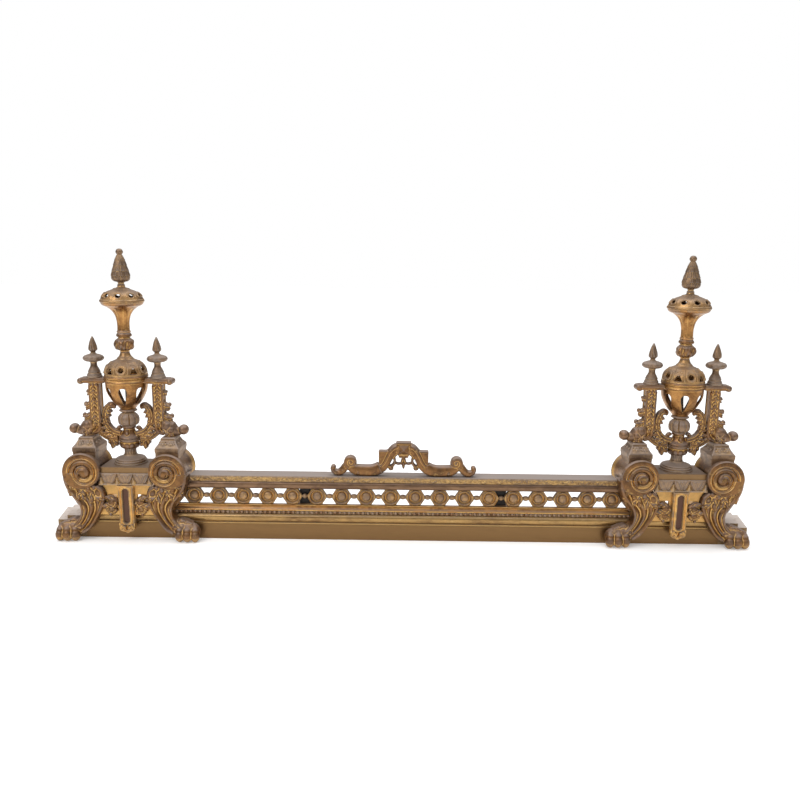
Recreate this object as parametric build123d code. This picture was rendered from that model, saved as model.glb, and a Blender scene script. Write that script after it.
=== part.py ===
from build123d import *
import math
import os

# Hearth fender: two pedestals joined by a moulded base, a pierced gallery and a top rail.
# Millimetres. +Z up, front faces -Y, the row runs along X, the floor is z = 0.
# Depths are given from the front of the paws and shifted so the row is centred on Y.

# ---- overall sizes -------------------------------------------------------------------
PEDESTAL_SPACING = 850.0      # between the two urn axes
ROW_DEPTH = 87.0              # front of the paws to the back of the side returns
AXIS_DEPTH = 42.0             # urn axis behind the front of the paws

# ---- base and side returns -----------------------------------------------------------
PLINTH_FRONT = 27.0
BASE_BACK = 60.0
PLINTH_TOP = 24.5
PLINTH_WALL = 3.0
TORUS_TOP = 39.5
BEAD_TOP = 45.5
BASE_TOP = 54.5
BEAD_INSET = 4.0
BASE_TOP_INSET = 7.0
TOP_LIP_BACK = 40.0           # behind this the top moulding is cut away under the gallery
POST_PAD = 3.0                # flat left each side of a rear post
RETURN_WIDTH = 44.0
RETURN_SPLAY = 11.0
RETURN_STEP = 28.0
RETURN_TOP = 35.0
RETURN_STEP_WIDTH = 15.0
RETURN_BACK_STEP = 8.0

# ---- gallery -------------------------------------------------------------------------
HEX_COUNT_HALF = 9
HEX_COUNT_CENTRE_HALF = 4
HEX_ACROSS_CORNERS = 30.5
GALLERY_REACH = 78.5          # urn axis to the end of the last boss's pitch
GALLERY_FRONT = 35.0
HEX_THICK = 8.0
HEX_RELIEF = 1.6
LINK_R = 2.6
LINK_BARREL_R = 4.0
LINK_BITE = 0.5
JOINT_BALL_R = 3.9
POST_WIDTH = 17.0
POST_THICK = 7.0

# ---- top rail ------------------------------------------------------------------------
RAIL_BOTTOM = 80.5
ROLL_HEIGHT = 11.5
FRIEZE_HEIGHT = 7.0
CAP_HEIGHT = 3.5
RAIL_FRONT = 28.5
RAIL_BACK = 56.0
ROLL_INSET = 1.5
FRIEZE_INSET = 3.0

# ---- crest ---------------------------------------------------------------------------
CREST_FRONT = 30.0
CREST_THICK = 13.0
CREST_ARM_START = 40.0
CREST_BALL_X = 83.0
CREST_BALL_R = 9.5
CREST_TIP_X = 113.5
CREST_HEIGHT = 58.0

# ---- pedestal: volute legs -----------------------------------------------------------
VOLUTE_FRONT = 5.0
VOLUTE_BACK = 66.0
EYE_X = 61.6
EYE_Z = 109.0
VOLUTE_R_OUT = 33.0
VOLUTE_R_TOP = 31.0
VOLUTE_R_IN = 24.0
VOLUTE_R_BOTTOM = 23.0
EYE_R = 9.0
EYE_PROUD = 3.0
CHANNEL_OUT = 5.0
CHANNEL_DEPTH = 3.0
ANKLE_FRONT = 8.0
PAW_OUT = 31.4                # paw centre outside the volute's eye
PAW_HALF = 19.0
PAW_TOP = 31.0
PAW_BODY_R = 15.0
TOE_R = 8.6
TOE_COUNT = 4

# ---- pedestal: body ------------------------------------------------------------------
PANEL_FRONT = 16.0
PANEL_THICK = 5.0
CAVITY_GAP = 34.0             # volute eye to the wall of the body's hollow back
PLATFORM_TOP = 117.5
PLATFORM_THICK = 9.0
PLATFORM_LIP = 3.0
APRON_DROP = 13.5
PANEL_HOLE = 6.0
PANEL_HOLE_X = 18.6
PANEL_HOLE_DROP = 46.5
EGG_HEIGHT = 19.0
EGG_FRONT = 9.0
EGG_R = 8.6
EGG_PITCH = 24.0
LABEL_HALF = 12.0
LABEL_BOTTOM = 16.0
LABEL_FRONT = 9.0
LABEL_SLOT_HALF = 4.8
LABEL_SLOT_DEPTH = 3.0
LABEL_SLOT_FOOT = 34.0
LABEL_CURL_R = 6.4
LABEL_CURL_PROUD = 0.5
LABEL_TIP_R = 3.4
LEAF_FRONT = 8.0
LEAF_GAP = 0.3

# ---- pedestal: cap blocks and columns ------------------------------------------------
CAP_HALF = 18.5
CAP_DEPTH = 45.0
CAP_DROP = 12.0               # how far the cap block saddles down over the volute
CAP_RISE = 38.0               # volute eye to the top of the cap block
ROSETTE_HALF = 14.0
ROSETTE_RISE = 14.0
NECK_HALF = 7.5
COLUMN_IN = 13.1              # column centre inside the volute's eye
COLUMN_HALF = 8.5
ABACUS_BELOW = 5.0            # abacus top and bottom, from the top of the bowl
ABACUS_ABOVE = 5.0
ABACUS_OUT = 23.5
SCROLL_BALL_OUT = 36.0
SCROLL_BALL_R = 8.0
CROCKET_R = 5.0
LYRE_DEPTH = 10.0

# ---- pedestal: urn stack -------------------------------------------------------------
ROD_R = 3.0
ROD_BORE_R = 3.4
ROD_SEAT = 8.0
NUT_R = 7.0
NUT_THICK = 6.0
FOOT_HEIGHT = 24.0
CUP_HEIGHT = 15.5
CUP_CLEAR_R = 16.0
HUB_HEIGHT = 19.6
KNOP_HEIGHT = 26.4
BOWL_HEIGHT = 44.0
BAND_R = 32.4
BAND_HEIGHT = 9.0
LID_HEIGHT = 34.0
NECK_HEIGHT = 31.0
TRUMPET_HEIGHT = 45.0
DOME_HEIGHT = 25.0
FLAME_HEIGHT = 54.0
SHELL = 3.0
BOWL_HOLES = 7
LID_HOLES = 10
DOME_HOLES = 9
FINIAL_PEG_R = 2.5
FINIAL_PEG = 6.0
PEG_CLEARANCE = 0.15

# ---- derived -------------------------------------------------------------------------
AXIS_X = PEDESTAL_SPACING / 2
PAW_X = EYE_X + PAW_OUT
PLINTH_HALF = AXIS_X + PAW_X - PAW_HALF - 4.0
HEX_PITCH = (AXIS_X - GALLERY_REACH) / HEX_COUNT_HALF
HEX_FLATS = RAIL_BOTTOM - BASE_TOP
HEX_Z = (RAIL_BOTTOM + BASE_TOP) / 2
HEX_RING_R = HEX_FLATS * 0.37
HEX_GROOVE_R = HEX_FLATS * 0.29
HEX_DOME_R = HEX_FLATS * 0.24
JOINT_X = HEX_COUNT_CENTRE_HALF * HEX_PITCH
ROLL_TOP = RAIL_BOTTOM + ROLL_HEIGHT
FRIEZE_TOP = ROLL_TOP + FRIEZE_HEIGHT
RAIL_TOP = FRIEZE_TOP + CAP_HEIGHT
PLATFORM_BOTTOM = PLATFORM_TOP - PLATFORM_THICK
BODY_HALF = EYE_X - 15.6
CAVITY_HALF = EYE_X - CAVITY_GAP
EGG_BOTTOM = PLATFORM_BOTTOM - EGG_HEIGHT
LABEL_TOP = EGG_BOTTOM
APRON_BOTTOM = BASE_TOP - APRON_DROP
CAP_X = EYE_X + 1.4
CAP_TOP = EYE_Z + CAP_RISE
ROSETTE_TOP = CAP_TOP + ROSETTE_RISE
COLUMN_X = EYE_X - COLUMN_IN
COLUMN_INNER = COLUMN_X - COLUMN_HALF
STEM_TOP = PLATFORM_TOP + FOOT_HEIGHT
CUP_TOP = STEM_TOP + CUP_HEIGHT
HUB_TOP = CUP_TOP + HUB_HEIGHT
KNOP_TOP = HUB_TOP + KNOP_HEIGHT
BOWL_TOP = KNOP_TOP + BOWL_HEIGHT
BAND_TOP = BOWL_TOP + BAND_HEIGHT
LID_TOP = BAND_TOP + LID_HEIGHT
NECK_TOP = LID_TOP + NECK_HEIGHT
TRUMPET_TOP = NECK_TOP + TRUMPET_HEIGHT
DOME_TOP = TRUMPET_TOP + DOME_HEIGHT
COLUMN_TOP = BOWL_TOP - ABACUS_BELOW
ABACUS_TOP = BOWL_TOP + ABACUS_ABOVE


def at(depth):
    return depth - ROW_DEPTH / 2


AXIS_Y = at(AXIS_DEPTH)
CORNER = (Align.MIN, Align.MIN, Align.MIN)
UPWARD = (Align.CENTER, Align.CENTER, Align.MIN)
DOWNWARD = (Align.CENTER, Align.CENTER, Align.MAX)


def prism(points, front, back):
    wire = Polyline(*[(x, at(front), z) for x, z in points], close=True)
    return extrude(make_face(wire), amount=back - front, dir=(0, 1, 0))


def curved_prism(points, front, back):
    wire = Spline(*[(x, at(front), z) for x, z in points], periodic=True)
    return extrude(make_face(wire), amount=back - front, dir=(0, 1, 0))


def block(x0, x1, front, back, z0, z1):
    return Pos(x0, at(front), z0) * Box(x1 - x0, back - front, z1 - z0, align=CORNER)


def roller(x, z, radius, front, back):
    middle = (at(front) + at(back)) / 2
    return Pos(x, middle, z) * Rot(90, 0, 0) * Cylinder(radius, back - front)


def shift(points, dx, dz):
    return [(x + dx, z + dz) for x, z in points]


def lift(moves, base):
    """Raise a turned profile's moves to start from a base height."""
    return [shift(move, 0, base) if isinstance(move, list) else (move[0], move[1] + base) for move in moves]


def trace(start, moves, place):
    """Closed face; a move is a point for a line or a list of points for a curve."""
    here = start
    edges = []
    for move in moves:
        points = move if isinstance(move, list) else [move]
        path = [place(u, v) for u, v in [here] + points]
        edges.append(Spline(*path) if len(path) > 2 else Line(*path))
        here = points[-1]
    edges.append(Line(place(*here), place(*start)))
    return make_face(edges)


def bar(start, moves, x0, x1):
    section = trace(start, moves, lambda d, z: (x0, at(d), z))
    return extrude(section, amount=x1 - x0, dir=(1, 0, 0))


def lathe(start, moves):
    return revolve(trace(start, moves, lambda r, z: (r, 0, z)), Axis.Z, 360)


def flip(points, side):
    return [(side * x, z) for x, z in points]


def strap(points, half):
    """Closed outline of a band of constant width along a centre line."""
    left, right = [], []
    for i, (x, z) in enumerate(points):
        x0, z0 = points[max(i - 1, 0)]
        x1, z1 = points[min(i + 1, len(points) - 1)]
        run = math.hypot(x1 - x0, z1 - z0)
        nx, nz = -(z1 - z0) / run * half, (x1 - x0) / run * half
        left.append((x + nx, z + nz))
        right.append((x - nx, z - nz))
    return left + right[::-1]


# ---- pedestal shapes, drawn for the +X side of the urn axis --------------------------
def leg_points():
    """Volute about its eye, then down the inner side, under the sole and up the outer side."""
    spiral = []
    rays = [(0, VOLUTE_R_OUT), (28, 32.6), (56, 32.0), (84, VOLUTE_R_TOP + 0.3), (112, 29.8), (140, 27.2)]
    rays += [(165, 25.0), (188, VOLUTE_R_IN), (210, VOLUTE_R_BOTTOM + 1.2)]
    for angle, radius in rays:
        a = math.radians(angle)
        spiral.append((radius * math.cos(a), radius * math.sin(a)))
    knee = shift(spiral + [(-27.1, -24.0), (-31.1, -35.0)], EYE_X, EYE_Z)
    shin = [(-28.6, 61.0), (-22.6, 47.5), (-15.1, 35.0), (-7.6, 23.0), (-1.1, 14.5), (8.4, 10.5), (18.4, 12.0)]
    shin += [(22.4, 20.0), (16.4, 28.5), (8.9, 37.0), (5.4, 48.0), (7.9, 60.0)]
    calf = shift([(16.4, -41.0), (24.4, -29.0), (30.4, -15.0)], EYE_X, EYE_Z)
    return knee + shift(shin, EYE_X, 0) + calf


def leg_envelope(side, x):
    points = [(x + px, pz) for px, pz in flip(leg_points(), side)]
    return curved_prism(points, VOLUTE_FRONT, VOLUTE_BACK)


BASE_ENVELOPE = block(-2 * AXIS_X, 2 * AXIS_X, PLINTH_FRONT, ROW_DEPTH, 0, BASE_TOP)


def largest(shape):
    return max(shape.solids(), key=lambda solid: solid.volume)


def make_leg(side, x):
    leg = leg_envelope(side, x)
    eye_x = x + side * EYE_X
    leg -= roller(eye_x, EYE_Z, VOLUTE_R_BOTTOM - CHANNEL_OUT, VOLUTE_FRONT, VOLUTE_FRONT + CHANNEL_DEPTH)
    leg += roller(eye_x, EYE_Z, EYE_R + 3.0, VOLUTE_FRONT + 0.5, VOLUTE_FRONT + 2 * CHANNEL_DEPTH)
    leg += Pos(eye_x, at(VOLUTE_FRONT + EYE_R - EYE_PROUD), EYE_Z) * Sphere(EYE_R)
    leg -= block(x - 2 * PAW_X, x + 2 * PAW_X, 0, ANKLE_FRONT, 0, BASE_TOP)
    paw_x = x + side * PAW_X
    leg += roller(paw_x, PAW_TOP - PAW_BODY_R, PAW_BODY_R, TOE_R, PLINTH_FRONT)
    span = 2 * (PAW_HALF - TOE_R)
    for i in range(TOE_COUNT):
        toe_x = paw_x - span / 2 + span * i / (TOE_COUNT - 1)
        leg += Pos(toe_x, at(TOE_R), TOE_R) * Sphere(TOE_R)
        leg += roller(toe_x, TOE_R, TOE_R, TOE_R, PLINTH_FRONT)
    leg += block(paw_x - PAW_HALF + 5, paw_x + PAW_HALF - 5, TOE_R, PLINTH_FRONT, 0, TOE_R)
    return leg - BASE_ENVELOPE


def make_body(x, envelopes):
    body = block(x - BODY_HALF, x + BODY_HALF, PANEL_FRONT, VOLUTE_BACK, BASE_TOP, PLATFORM_TOP)
    body += block(x - BODY_HALF, x + BODY_HALF, PANEL_FRONT, PLINTH_FRONT, APRON_BOTTOM, BASE_TOP)
    lip_front = PANEL_FRONT - PLATFORM_LIP
    body += block(x - BODY_HALF, x + BODY_HALF, lip_front, PANEL_FRONT, PLATFORM_BOTTOM, PLATFORM_TOP)
    for envelope in envelopes:
        body -= envelope
    inner = PANEL_FRONT + PANEL_THICK
    body = largest(body)
    body -= block(x - CAVITY_HALF, x + CAVITY_HALF, inner, VOLUTE_BACK, BASE_TOP, PLATFORM_BOTTOM)
    for side in (-1, 1):
        hole = PANEL_HOLE / 2
        hx = x + side * PANEL_HOLE_X
        hz = PLATFORM_TOP - PANEL_HOLE_DROP
        body -= block(hx - hole, hx + hole, PANEL_FRONT, inner, hz - hole, hz + hole)
    return body - Pos(x, AXIS_Y, PLATFORM_TOP) * Cylinder(ROD_BORE_R, 30, align=DOWNWARD)


def make_egg_moulding(x, envelopes):
    front = PANEL_FRONT
    lip = EGG_FRONT + 1.5
    top = PLATFORM_BOTTOM
    moves = [(front, top), (lip, top), (lip, top - 3.0)]
    moves += [[(lip + 0.4, top - 8), (lip + 2, top - 13), (front - 2.5, EGG_BOTTOM + 2)]]
    moves += [(front - 2.5, EGG_BOTTOM)]
    moulding = bar((front, EGG_BOTTOM), moves, x - BODY_HALF, x + BODY_HALF)
    egg_z = (EGG_BOTTOM + top) / 2 - 0.5
    behind = block(x - BODY_HALF, x + BODY_HALF, front, front + 2 * EGG_R, EGG_BOTTOM, top)
    for i in (-1, 0, 1):
        egg = Pos(x + i * EGG_PITCH, at(EGG_FRONT + EGG_R), egg_z) * Sphere(EGG_R)
        moulding += egg - behind
    for envelope in envelopes:
        moulding -= envelope
    return largest(moulding)


def make_label(x):
    curl_x = LABEL_HALF - LABEL_CURL_R
    curl_z = LABEL_BOTTOM + LABEL_CURL_R
    edge = LABEL_HALF - LABEL_CURL_PROUD
    label = block(x - edge, x + edge, LABEL_FRONT, PANEL_FRONT, curl_z, LABEL_TOP)
    for side in (-1, 1):
        label += roller(x + side * curl_x, curl_z, LABEL_CURL_R, LABEL_FRONT - 1, PANEL_FRONT)
    label += Pos(x, at(LABEL_FRONT + LABEL_TIP_R - 0.2), LABEL_BOTTOM) * Sphere(LABEL_TIP_R)
    half = LABEL_SLOT_HALF
    top = LABEL_TOP - 5
    slot = [(x - half, top), (x + half, top)]
    for i in range(9):
        turn = math.pi * i / 8
        slot.append((x + half * math.cos(turn), LABEL_SLOT_FOOT - half * math.sin(turn)))
    return label - prism(slot, LABEL_FRONT, LABEL_FRONT + LABEL_SLOT_DEPTH)


def make_leaves(x, envelopes):
    start = LABEL_HALF + LEAF_GAP
    outline = [(start, 46), (start, 66), (16, 72), (23, 70), (29, 66), (36, 60), (44, 50), (42, 45)]
    outline += [(34, 41), (26, 40), (18, 42)]
    leaves = []
    for side in (-1, 1):
        leaf = prism([(x + px, pz) for px, pz in flip(outline, side)], LEAF_FRONT + 2, PANEL_FRONT)
        for px, pz, radius in ((19, 62, 4.5), (26, 49, 5.0), (17.5, 49, 4.0)):
            leaf += Pos(x + side * px, at(LEAF_FRONT + radius), pz) * Sphere(radius)
        leaf -= block(x - BODY_HALF, x + BODY_HALF, PANEL_FRONT, ROW_DEPTH, 0, PLATFORM_TOP)
        for envelope in envelopes:
            leaf -= envelope
        leaves.append(largest(leaf))
    return Compound(leaves)


def make_cap_block(side, x, envelope):
    cap_x = x + side * CAP_X
    front = AXIS_DEPTH - CAP_DEPTH / 2
    back = AXIS_DEPTH + CAP_DEPTH / 2
    seat = CAP_TOP - CAP_DROP - 7.0
    cap = block(cap_x - CAP_HALF, cap_x + CAP_HALF, front, back, seat, CAP_TOP)
    step = ROSETTE_HALF
    middle = (CAP_TOP + ROSETTE_TOP) / 2
    cap += block(cap_x - step, cap_x + step, front + 4, back - 4, CAP_TOP, middle + 2)
    cap += block(cap_x - step + 3, cap_x + step - 3, front + 8, back - 8, middle + 2, ROSETTE_TOP)
    for i in (-1, 0, 1):
        cap += Pos(cap_x + i * 7.5, at(front + 4), CAP_TOP + 4.6) * Sphere(3.4)
    return largest(cap - envelope)


def column_outline():
    """Column with the scroll foot that stands on the cap block."""
    inner, outer = COLUMN_INNER, COLUMN_X + COLUMN_HALF
    neck = [(CAP_X - NECK_HALF, 0), (CAP_X + NECK_HALF, 0), (CAP_X + NECK_HALF, 4)]
    scroll = shift([(18.4, 3), (22.4, 17), (14.4, 21), (6.4, 25), (0.4, 30)], EYE_X, 0)
    foot = [(inner, 7), (CAP_X - NECK_HALF - 5, 6)] + neck + scroll + [(outer, 36)]
    return shift(foot, 0, ROSETTE_TOP) + [(outer, COLUMN_TOP), (inner, COLUMN_TOP)]


def make_column(side, x):
    front = AXIS_DEPTH - COLUMN_HALF
    back = AXIS_DEPTH + COLUMN_HALF
    column = prism([(x + px, pz) for px, pz in flip(column_outline(), side)], front, back)
    ball_x = x + side * (COLUMN_X + SCROLL_BALL_OUT)
    column += roller(ball_x, ROSETTE_TOP + 10.5, SCROLL_BALL_R, front - 1, back + 1)
    for out, rise in ((23.5, 23), (11, 41), (10, 65)):
        column += roller(x + side * (COLUMN_X + out), ROSETTE_TOP + rise, CROCKET_R, front + 3, back - 3)
    end = COLUMN_X + ABACUS_OUT - 5
    x0, x1 = sorted((x + side * (BAND_R - 4), x + side * end))
    column += block(x0, x1, front - 1, back + 1, COLUMN_TOP, ABACUS_TOP)
    column += roller(x + side * end, (COLUMN_TOP + ABACUS_TOP) / 2, 5, front - 1, back + 1)
    column -= Pos(x, AXIS_Y, COLUMN_TOP) * Cylinder(BAND_R, 60)
    socket = Cylinder(FINIAL_PEG_R + PEG_CLEARANCE, FINIAL_PEG + 1, align=DOWNWARD)
    return column - Pos(x + side * COLUMN_X, AXIS_Y, ABACUS_TOP) * socket


def make_small_finials(x):
    r = FINIAL_PEG_R
    moves = [(r, -FINIAL_PEG), (r, 0), (11.4, 0)]
    moves += [[(11.2, 4), (9.6, 7), (8.8, 9), (6.4, 14)], [(5.0, 17), (5.2, 21), (7.5, 24)]]
    moves += [[(13.6, 25.2), (15.9, 28.5), (13.2, 31.4), (7.0, 34)]]
    moves += [[(3.9, 36), (4.2, 38.5), (6.6, 41)], [(6.2, 46), (3.6, 56), (0, 62.5)]]
    finial = lathe((0, ABACUS_TOP - FINIAL_PEG), lift(moves, ABACUS_TOP))
    return Compound([Pos(x + side * COLUMN_X, AXIS_Y, 0) * finial for side in (-1, 1)])


def make_lyre(x, columns):
    """Hub under the melon knop with two arms that run out to the columns."""
    front = AXIS_DEPTH - LYRE_DEPTH / 2
    back = AXIS_DEPTH + LYRE_DEPTH / 2
    b = ROD_BORE_R
    moves = [(14.6, 0), (15.0, 3), (11.0, 6), [(10.0, 9), (11.6, 12), (16.8, 15)], (16.0, 17)]
    moves += [(11.5, HUB_HEIGHT), (b, HUB_HEIGHT)]
    lyre = Pos(x, AXIS_Y, 0) * lathe((b, CUP_TOP), lift(moves, CUP_TOP))
    reach = COLUMN_INNER
    arm = [(0.225, 9.5), (0.45, 9.5), (0.65, 13), (0.81, 20), (0.905, 30), (0.91, 41), (0.825, 50), (0.65, 53)]
    outer = [(1.25, 13), (1.05, 6), (0.85, 1), (0.68, 0.5)]
    drop = [(0.325, 6), (0.38, -12), (0.6, -10), (0.78, -14), (0.88, -7), (0.9, 3), (0.65, 13)]
    arm, outer, drop = ([(reach * px, pz) for px, pz in path] for path in (arm, outer, drop))
    for side in (-1, 1):
        for path, width in ((arm, 4.5), (outer, 3.6)):
            lyre += prism(shift(flip(strap(path, width), side), x, CUP_TOP), front, back)
        lyre += prism(shift(flip(drop, side), x, CUP_TOP), front + 1, back - 1)
        lyre += roller(x + side * reach * 0.64, CUP_TOP + 52, 5.5, front, back)
    lyre -= Pos(x, AXIS_Y, CUP_TOP) * Cylinder(CUP_CLEAR_R, 40, align=DOWNWARD)
    lyre -= Pos(x, AXIS_Y, CUP_TOP) * Cylinder(b, 60)
    for column in columns:
        lyre -= column
    return largest(lyre)


def teardrop(width, low, high, reach):
    wide = high - width / 2
    points = [(0, low), (width * 0.34, (low + wide) / 2), (width / 2, wide), (width * 0.32, high - 1)]
    points += [(0, high), (-width * 0.32, high - 1), (-width / 2, wide), (-width * 0.34, (low + wide) / 2)]
    wire = Spline(*[(px, 0, pz) for px, pz in points], periodic=True)
    return extrude(make_face(wire), amount=reach, dir=(0, -1, 0))


def pierce(shell, cutter, count, turn):
    for i in range(count):
        shell -= Rot(0, 0, turn + 360 * i / count) * cutter
    return shell


def urn_stack(x):
    """Every turned piece of the urn, from the platform up; profiles start at each piece's own base."""
    b = ROD_BORE_R
    foot = [(24.9, 0), (24.9, 3), (23.6, 5), (24.2, 7), [(20, 9.2), (12.5, 12.5), (8.6, 17)]]
    foot += [(8.8, FOOT_HEIGHT), (b, FOOT_HEIGHT)]
    cup = [(9.5, 0), [(13.6, 1.5), (15.2, 5.5), (14.4, 9.5)], (15.2, 11.5), (14.0, CUP_HEIGHT), (b, CUP_HEIGHT)]
    knop = [(11.5, 0), [(15.4, 3.4), (16.2, 9.4), (14.6, 15.4), (10.2, 20.4)], (9.4, 22.4)]
    knop += [(13.0, 23.4), (13.0, KNOP_HEIGHT), (b, KNOP_HEIGHT)]
    rim = BOWL_HEIGHT
    bowl = [(11.5, 0), [(14.6, 5), (22, 13), (30, 29), (31.2, rim)], (BAND_R, rim), (BAND_R, rim + BAND_HEIGHT)]
    bowl += [(BAND_R - 4.4, rim + BAND_HEIGHT), (BAND_R - 3.8, rim)]
    bowl += [[(27.4, 30), (19.4, 14), (11.8, 7.6), (b, 5)]]
    edge = BAND_R - 0.8
    lid = [(edge, 0), [(31.2, 6), (28.2, 13.5), (20.2, 21)], (12.4, 24.4), (11.0, 26)]
    lid += [[(8.6, 29), (6.9, LID_HEIGHT)], (b, LID_HEIGHT), (b, 22)]
    lid += [[(17.2, 18.2), (25.2, 11), (edge - SHELL, 2.5)]]
    neck = [(9.0, 0), [(12.6, 4), (15.1, 11), (14.0, 18), (9.2, 22)], (8.4, 24), (11.0, 25.5), (11.0, 29.5)]
    neck += [(9.2, NECK_HEIGHT), (b, NECK_HEIGHT)]
    trumpet = [(9.2, 0), [(9.1, 9), (9.9, 18), (15.7, 33), (22.4, 39)], [(28, 41.4), (30.6, TRUMPET_HEIGHT)]]
    trumpet += [(b, TRUMPET_HEIGHT)]
    dome = [(30.6, 0), (32.1, 2.5), (31.6, 6), [(28.8, 11.5), (22.0, 16.5), (9.5, 20)], (5.3, 21.5)]
    dome += [(5.3, DOME_HEIGHT), (b, DOME_HEIGHT), (b, 17.5), [(19.8, 13.4), (26.4, 9)], (28.4, 5), (b, 5)]
    flame = [(5.0, 0), (4.6, 3), [(11.6, 6), (13.9, 11.5), (12.0, 20.5), (7.0, 38), (3.6, 45.5)]]
    flame += [[(5.1, 49.2), (3.6, 52.8), (0, FLAME_HEIGHT)]]
    shapes = {
        "urn_foot": (b, PLATFORM_TOP, foot),
        "urn_cup": (b, STEM_TOP, cup),
        "melon_knop": (b, HUB_TOP, knop),
        "urn_bowl": (b, KNOP_TOP, bowl),
        "urn_lid": (edge - SHELL, BAND_TOP, lid),
        "neck_knop": (b, LID_TOP, neck),
        "trumpet": (b, NECK_TOP, trumpet),
        "dome_cap": (b, TRUMPET_TOP, dome),
        "flame_finial": (0, DOME_TOP, flame),
    }
    nodes = {name: lathe((r, base), lift(moves, base)) for name, (r, base, moves) in shapes.items()}
    bowl_hole = teardrop(11.0, KNOP_TOP + 11, KNOP_TOP + 35, 60)
    lid_round = Pos(0, 0, BAND_TOP + 11.5) * Rot(62, 0, 0) * Cylinder(3.6, 80, align=UPWARD)
    lid_peak = teardrop(8.5, BAND_TOP + 5, BAND_TOP + 16, 60)
    dome_hole = Pos(0, 0, TRUMPET_TOP + 6) * Rot(52, 0, 0) * Cylinder(3.4, 60, align=UPWARD)
    nodes["urn_bowl"] = pierce(nodes["urn_bowl"], bowl_hole, BOWL_HOLES, 7)
    nodes["urn_lid"] = pierce(nodes["urn_lid"], lid_round, LID_HOLES // 2, 0)
    nodes["urn_lid"] = pierce(nodes["urn_lid"], lid_peak, LID_HOLES // 2, 360 / LID_HOLES)
    nodes["dome_cap"] = pierce(nodes["dome_cap"], dome_hole, DOME_HOLES, 9)
    nodes["flame_finial"] -= Pos(0, 0, DOME_TOP) * Cylinder(ROD_BORE_R, ROD_SEAT, align=UPWARD)
    place = Pos(x, AXIS_Y, 0)
    return {name: place * shape for name, shape in nodes.items()}


def tie_rod(x):
    bottom = PLATFORM_BOTTOM - NUT_THICK
    rod = Cylinder(ROD_R, DOME_TOP + ROD_SEAT - bottom, align=UPWARD)
    rod += extrude(RegularPolygon(NUT_R, 6), amount=NUT_THICK)
    return Pos(x, AXIS_Y, bottom) * rod


def hexagon(x):
    corner = HEX_ACROSS_CORNERS / 2
    flat = HEX_FLATS / 2
    shoulder = corner / 2
    upper = [(corner, 0), (shoulder, flat), (-shoulder, flat)]
    points = upper + [(-px, -pz) for px, pz in upper]
    boss = prism([(x + px, HEX_Z + pz) for px, pz in points], GALLERY_FRONT, GALLERY_FRONT + HEX_THICK)
    boss += roller(x, HEX_Z, HEX_RING_R, GALLERY_FRONT - HEX_RELIEF, GALLERY_FRONT)
    boss -= roller(x, HEX_Z, HEX_GROOVE_R, GALLERY_FRONT - HEX_RELIEF, GALLERY_FRONT)
    dome = Pos(x, at(GALLERY_FRONT + 3.6), HEX_Z) * Sphere(HEX_DOME_R)
    behind = block(x - HEX_DOME_R, x + HEX_DOME_R, GALLERY_FRONT + 6, ROW_DEPTH, BASE_TOP, RAIL_BOTTOM)
    return boss + (dome - behind)


def link(x0, x1):
    middle = (x0 + x1) / 2
    depth = at(GALLERY_FRONT + HEX_THICK / 2)
    pin = Pos(middle, depth, HEX_Z) * Rot(0, 90, 0) * Cylinder(LINK_R, x1 - x0)
    return pin + Pos(middle, depth, HEX_Z) * Rot(0, 90, 0) * Cylinder(LINK_BARREL_R, (x1 - x0) * 0.4)


def make_gallery(centres, left_end, right_end):
    """One casting; an end at a joint carries half of the ball the two castings share."""
    corner = HEX_ACROSS_CORNERS / 2
    depth = at(GALLERY_FRONT + HEX_THICK / 2)
    gallery = hexagon(centres[0])
    for centre in centres[1:]:
        gallery += hexagon(centre)
    for centre in centres[:-1]:
        gallery += link(centre + corner - LINK_BITE, centre + HEX_PITCH - corner + LINK_BITE)
    for side, end, last in ((-1, left_end, centres[0]), (1, right_end, centres[-1])):
        x0, x1 = sorted((end, last + side * (corner - LINK_BITE)))
        gallery += Pos((x0 + x1) / 2, depth, HEX_Z) * Rot(0, 90, 0) * Cylinder(LINK_R, x1 - x0)
        if abs(end) == JOINT_X:
            beyond = sorted((end, end + side * HEX_PITCH))
            ball = Pos(end, depth, HEX_Z) * Sphere(JOINT_BALL_R)
            gallery += ball - block(beyond[0], beyond[1], 0, ROW_DEPTH, BASE_TOP, RAIL_BOTTOM)
    return gallery


def crest_arm(side):
    """Scroll arm of the crest; heights are from the top of the rail."""
    start, ball, tip = CREST_ARM_START, CREST_BALL_X, CREST_TIP_X
    back = CREST_FRONT + CREST_THICK
    arm = [(start, 35), (start + 6, 31), (start + 13, 22), (start + 21, 13), (start + 30, 8), (ball - 3, 10)]
    arm.append((ball + 4, 14))
    tail = [(ball + 4, 7), (ball + 15, 6), (ball + 23, 7), (tip - 2.5, 13)]
    shape = prism(shift(flip(strap(arm, 6.0), side), 0, RAIL_TOP), CREST_FRONT, back)
    shape += prism(shift(flip(strap(tail, 3.4), side), 0, RAIL_TOP), CREST_FRONT, back)
    shape += roller(side * ball, RAIL_TOP + 22.5, CREST_BALL_R, CREST_FRONT - 1, back)
    x0, x1 = sorted((side * (start + 22), side * (ball + 21)))
    shape += block(x0, x1, CREST_FRONT + 1, back, RAIL_TOP, RAIL_TOP + 8)
    curls = [(start + 12, 29, 4.5), (start + 26, 16, 4.5), (ball + 12, 12, 5.0), (tip - 5, 15, 4.4)]
    for px, pz, radius in curls:
        shape += roller(side * px, RAIL_TOP + pz, radius, CREST_FRONT, back)
    x0, x1 = sorted((side * start / 2, side * start))
    return shape - block(x0, x1, CREST_FRONT - 5, RAIL_BACK, RAIL_TOP, RAIL_TOP + CREST_HEIGHT)


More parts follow.
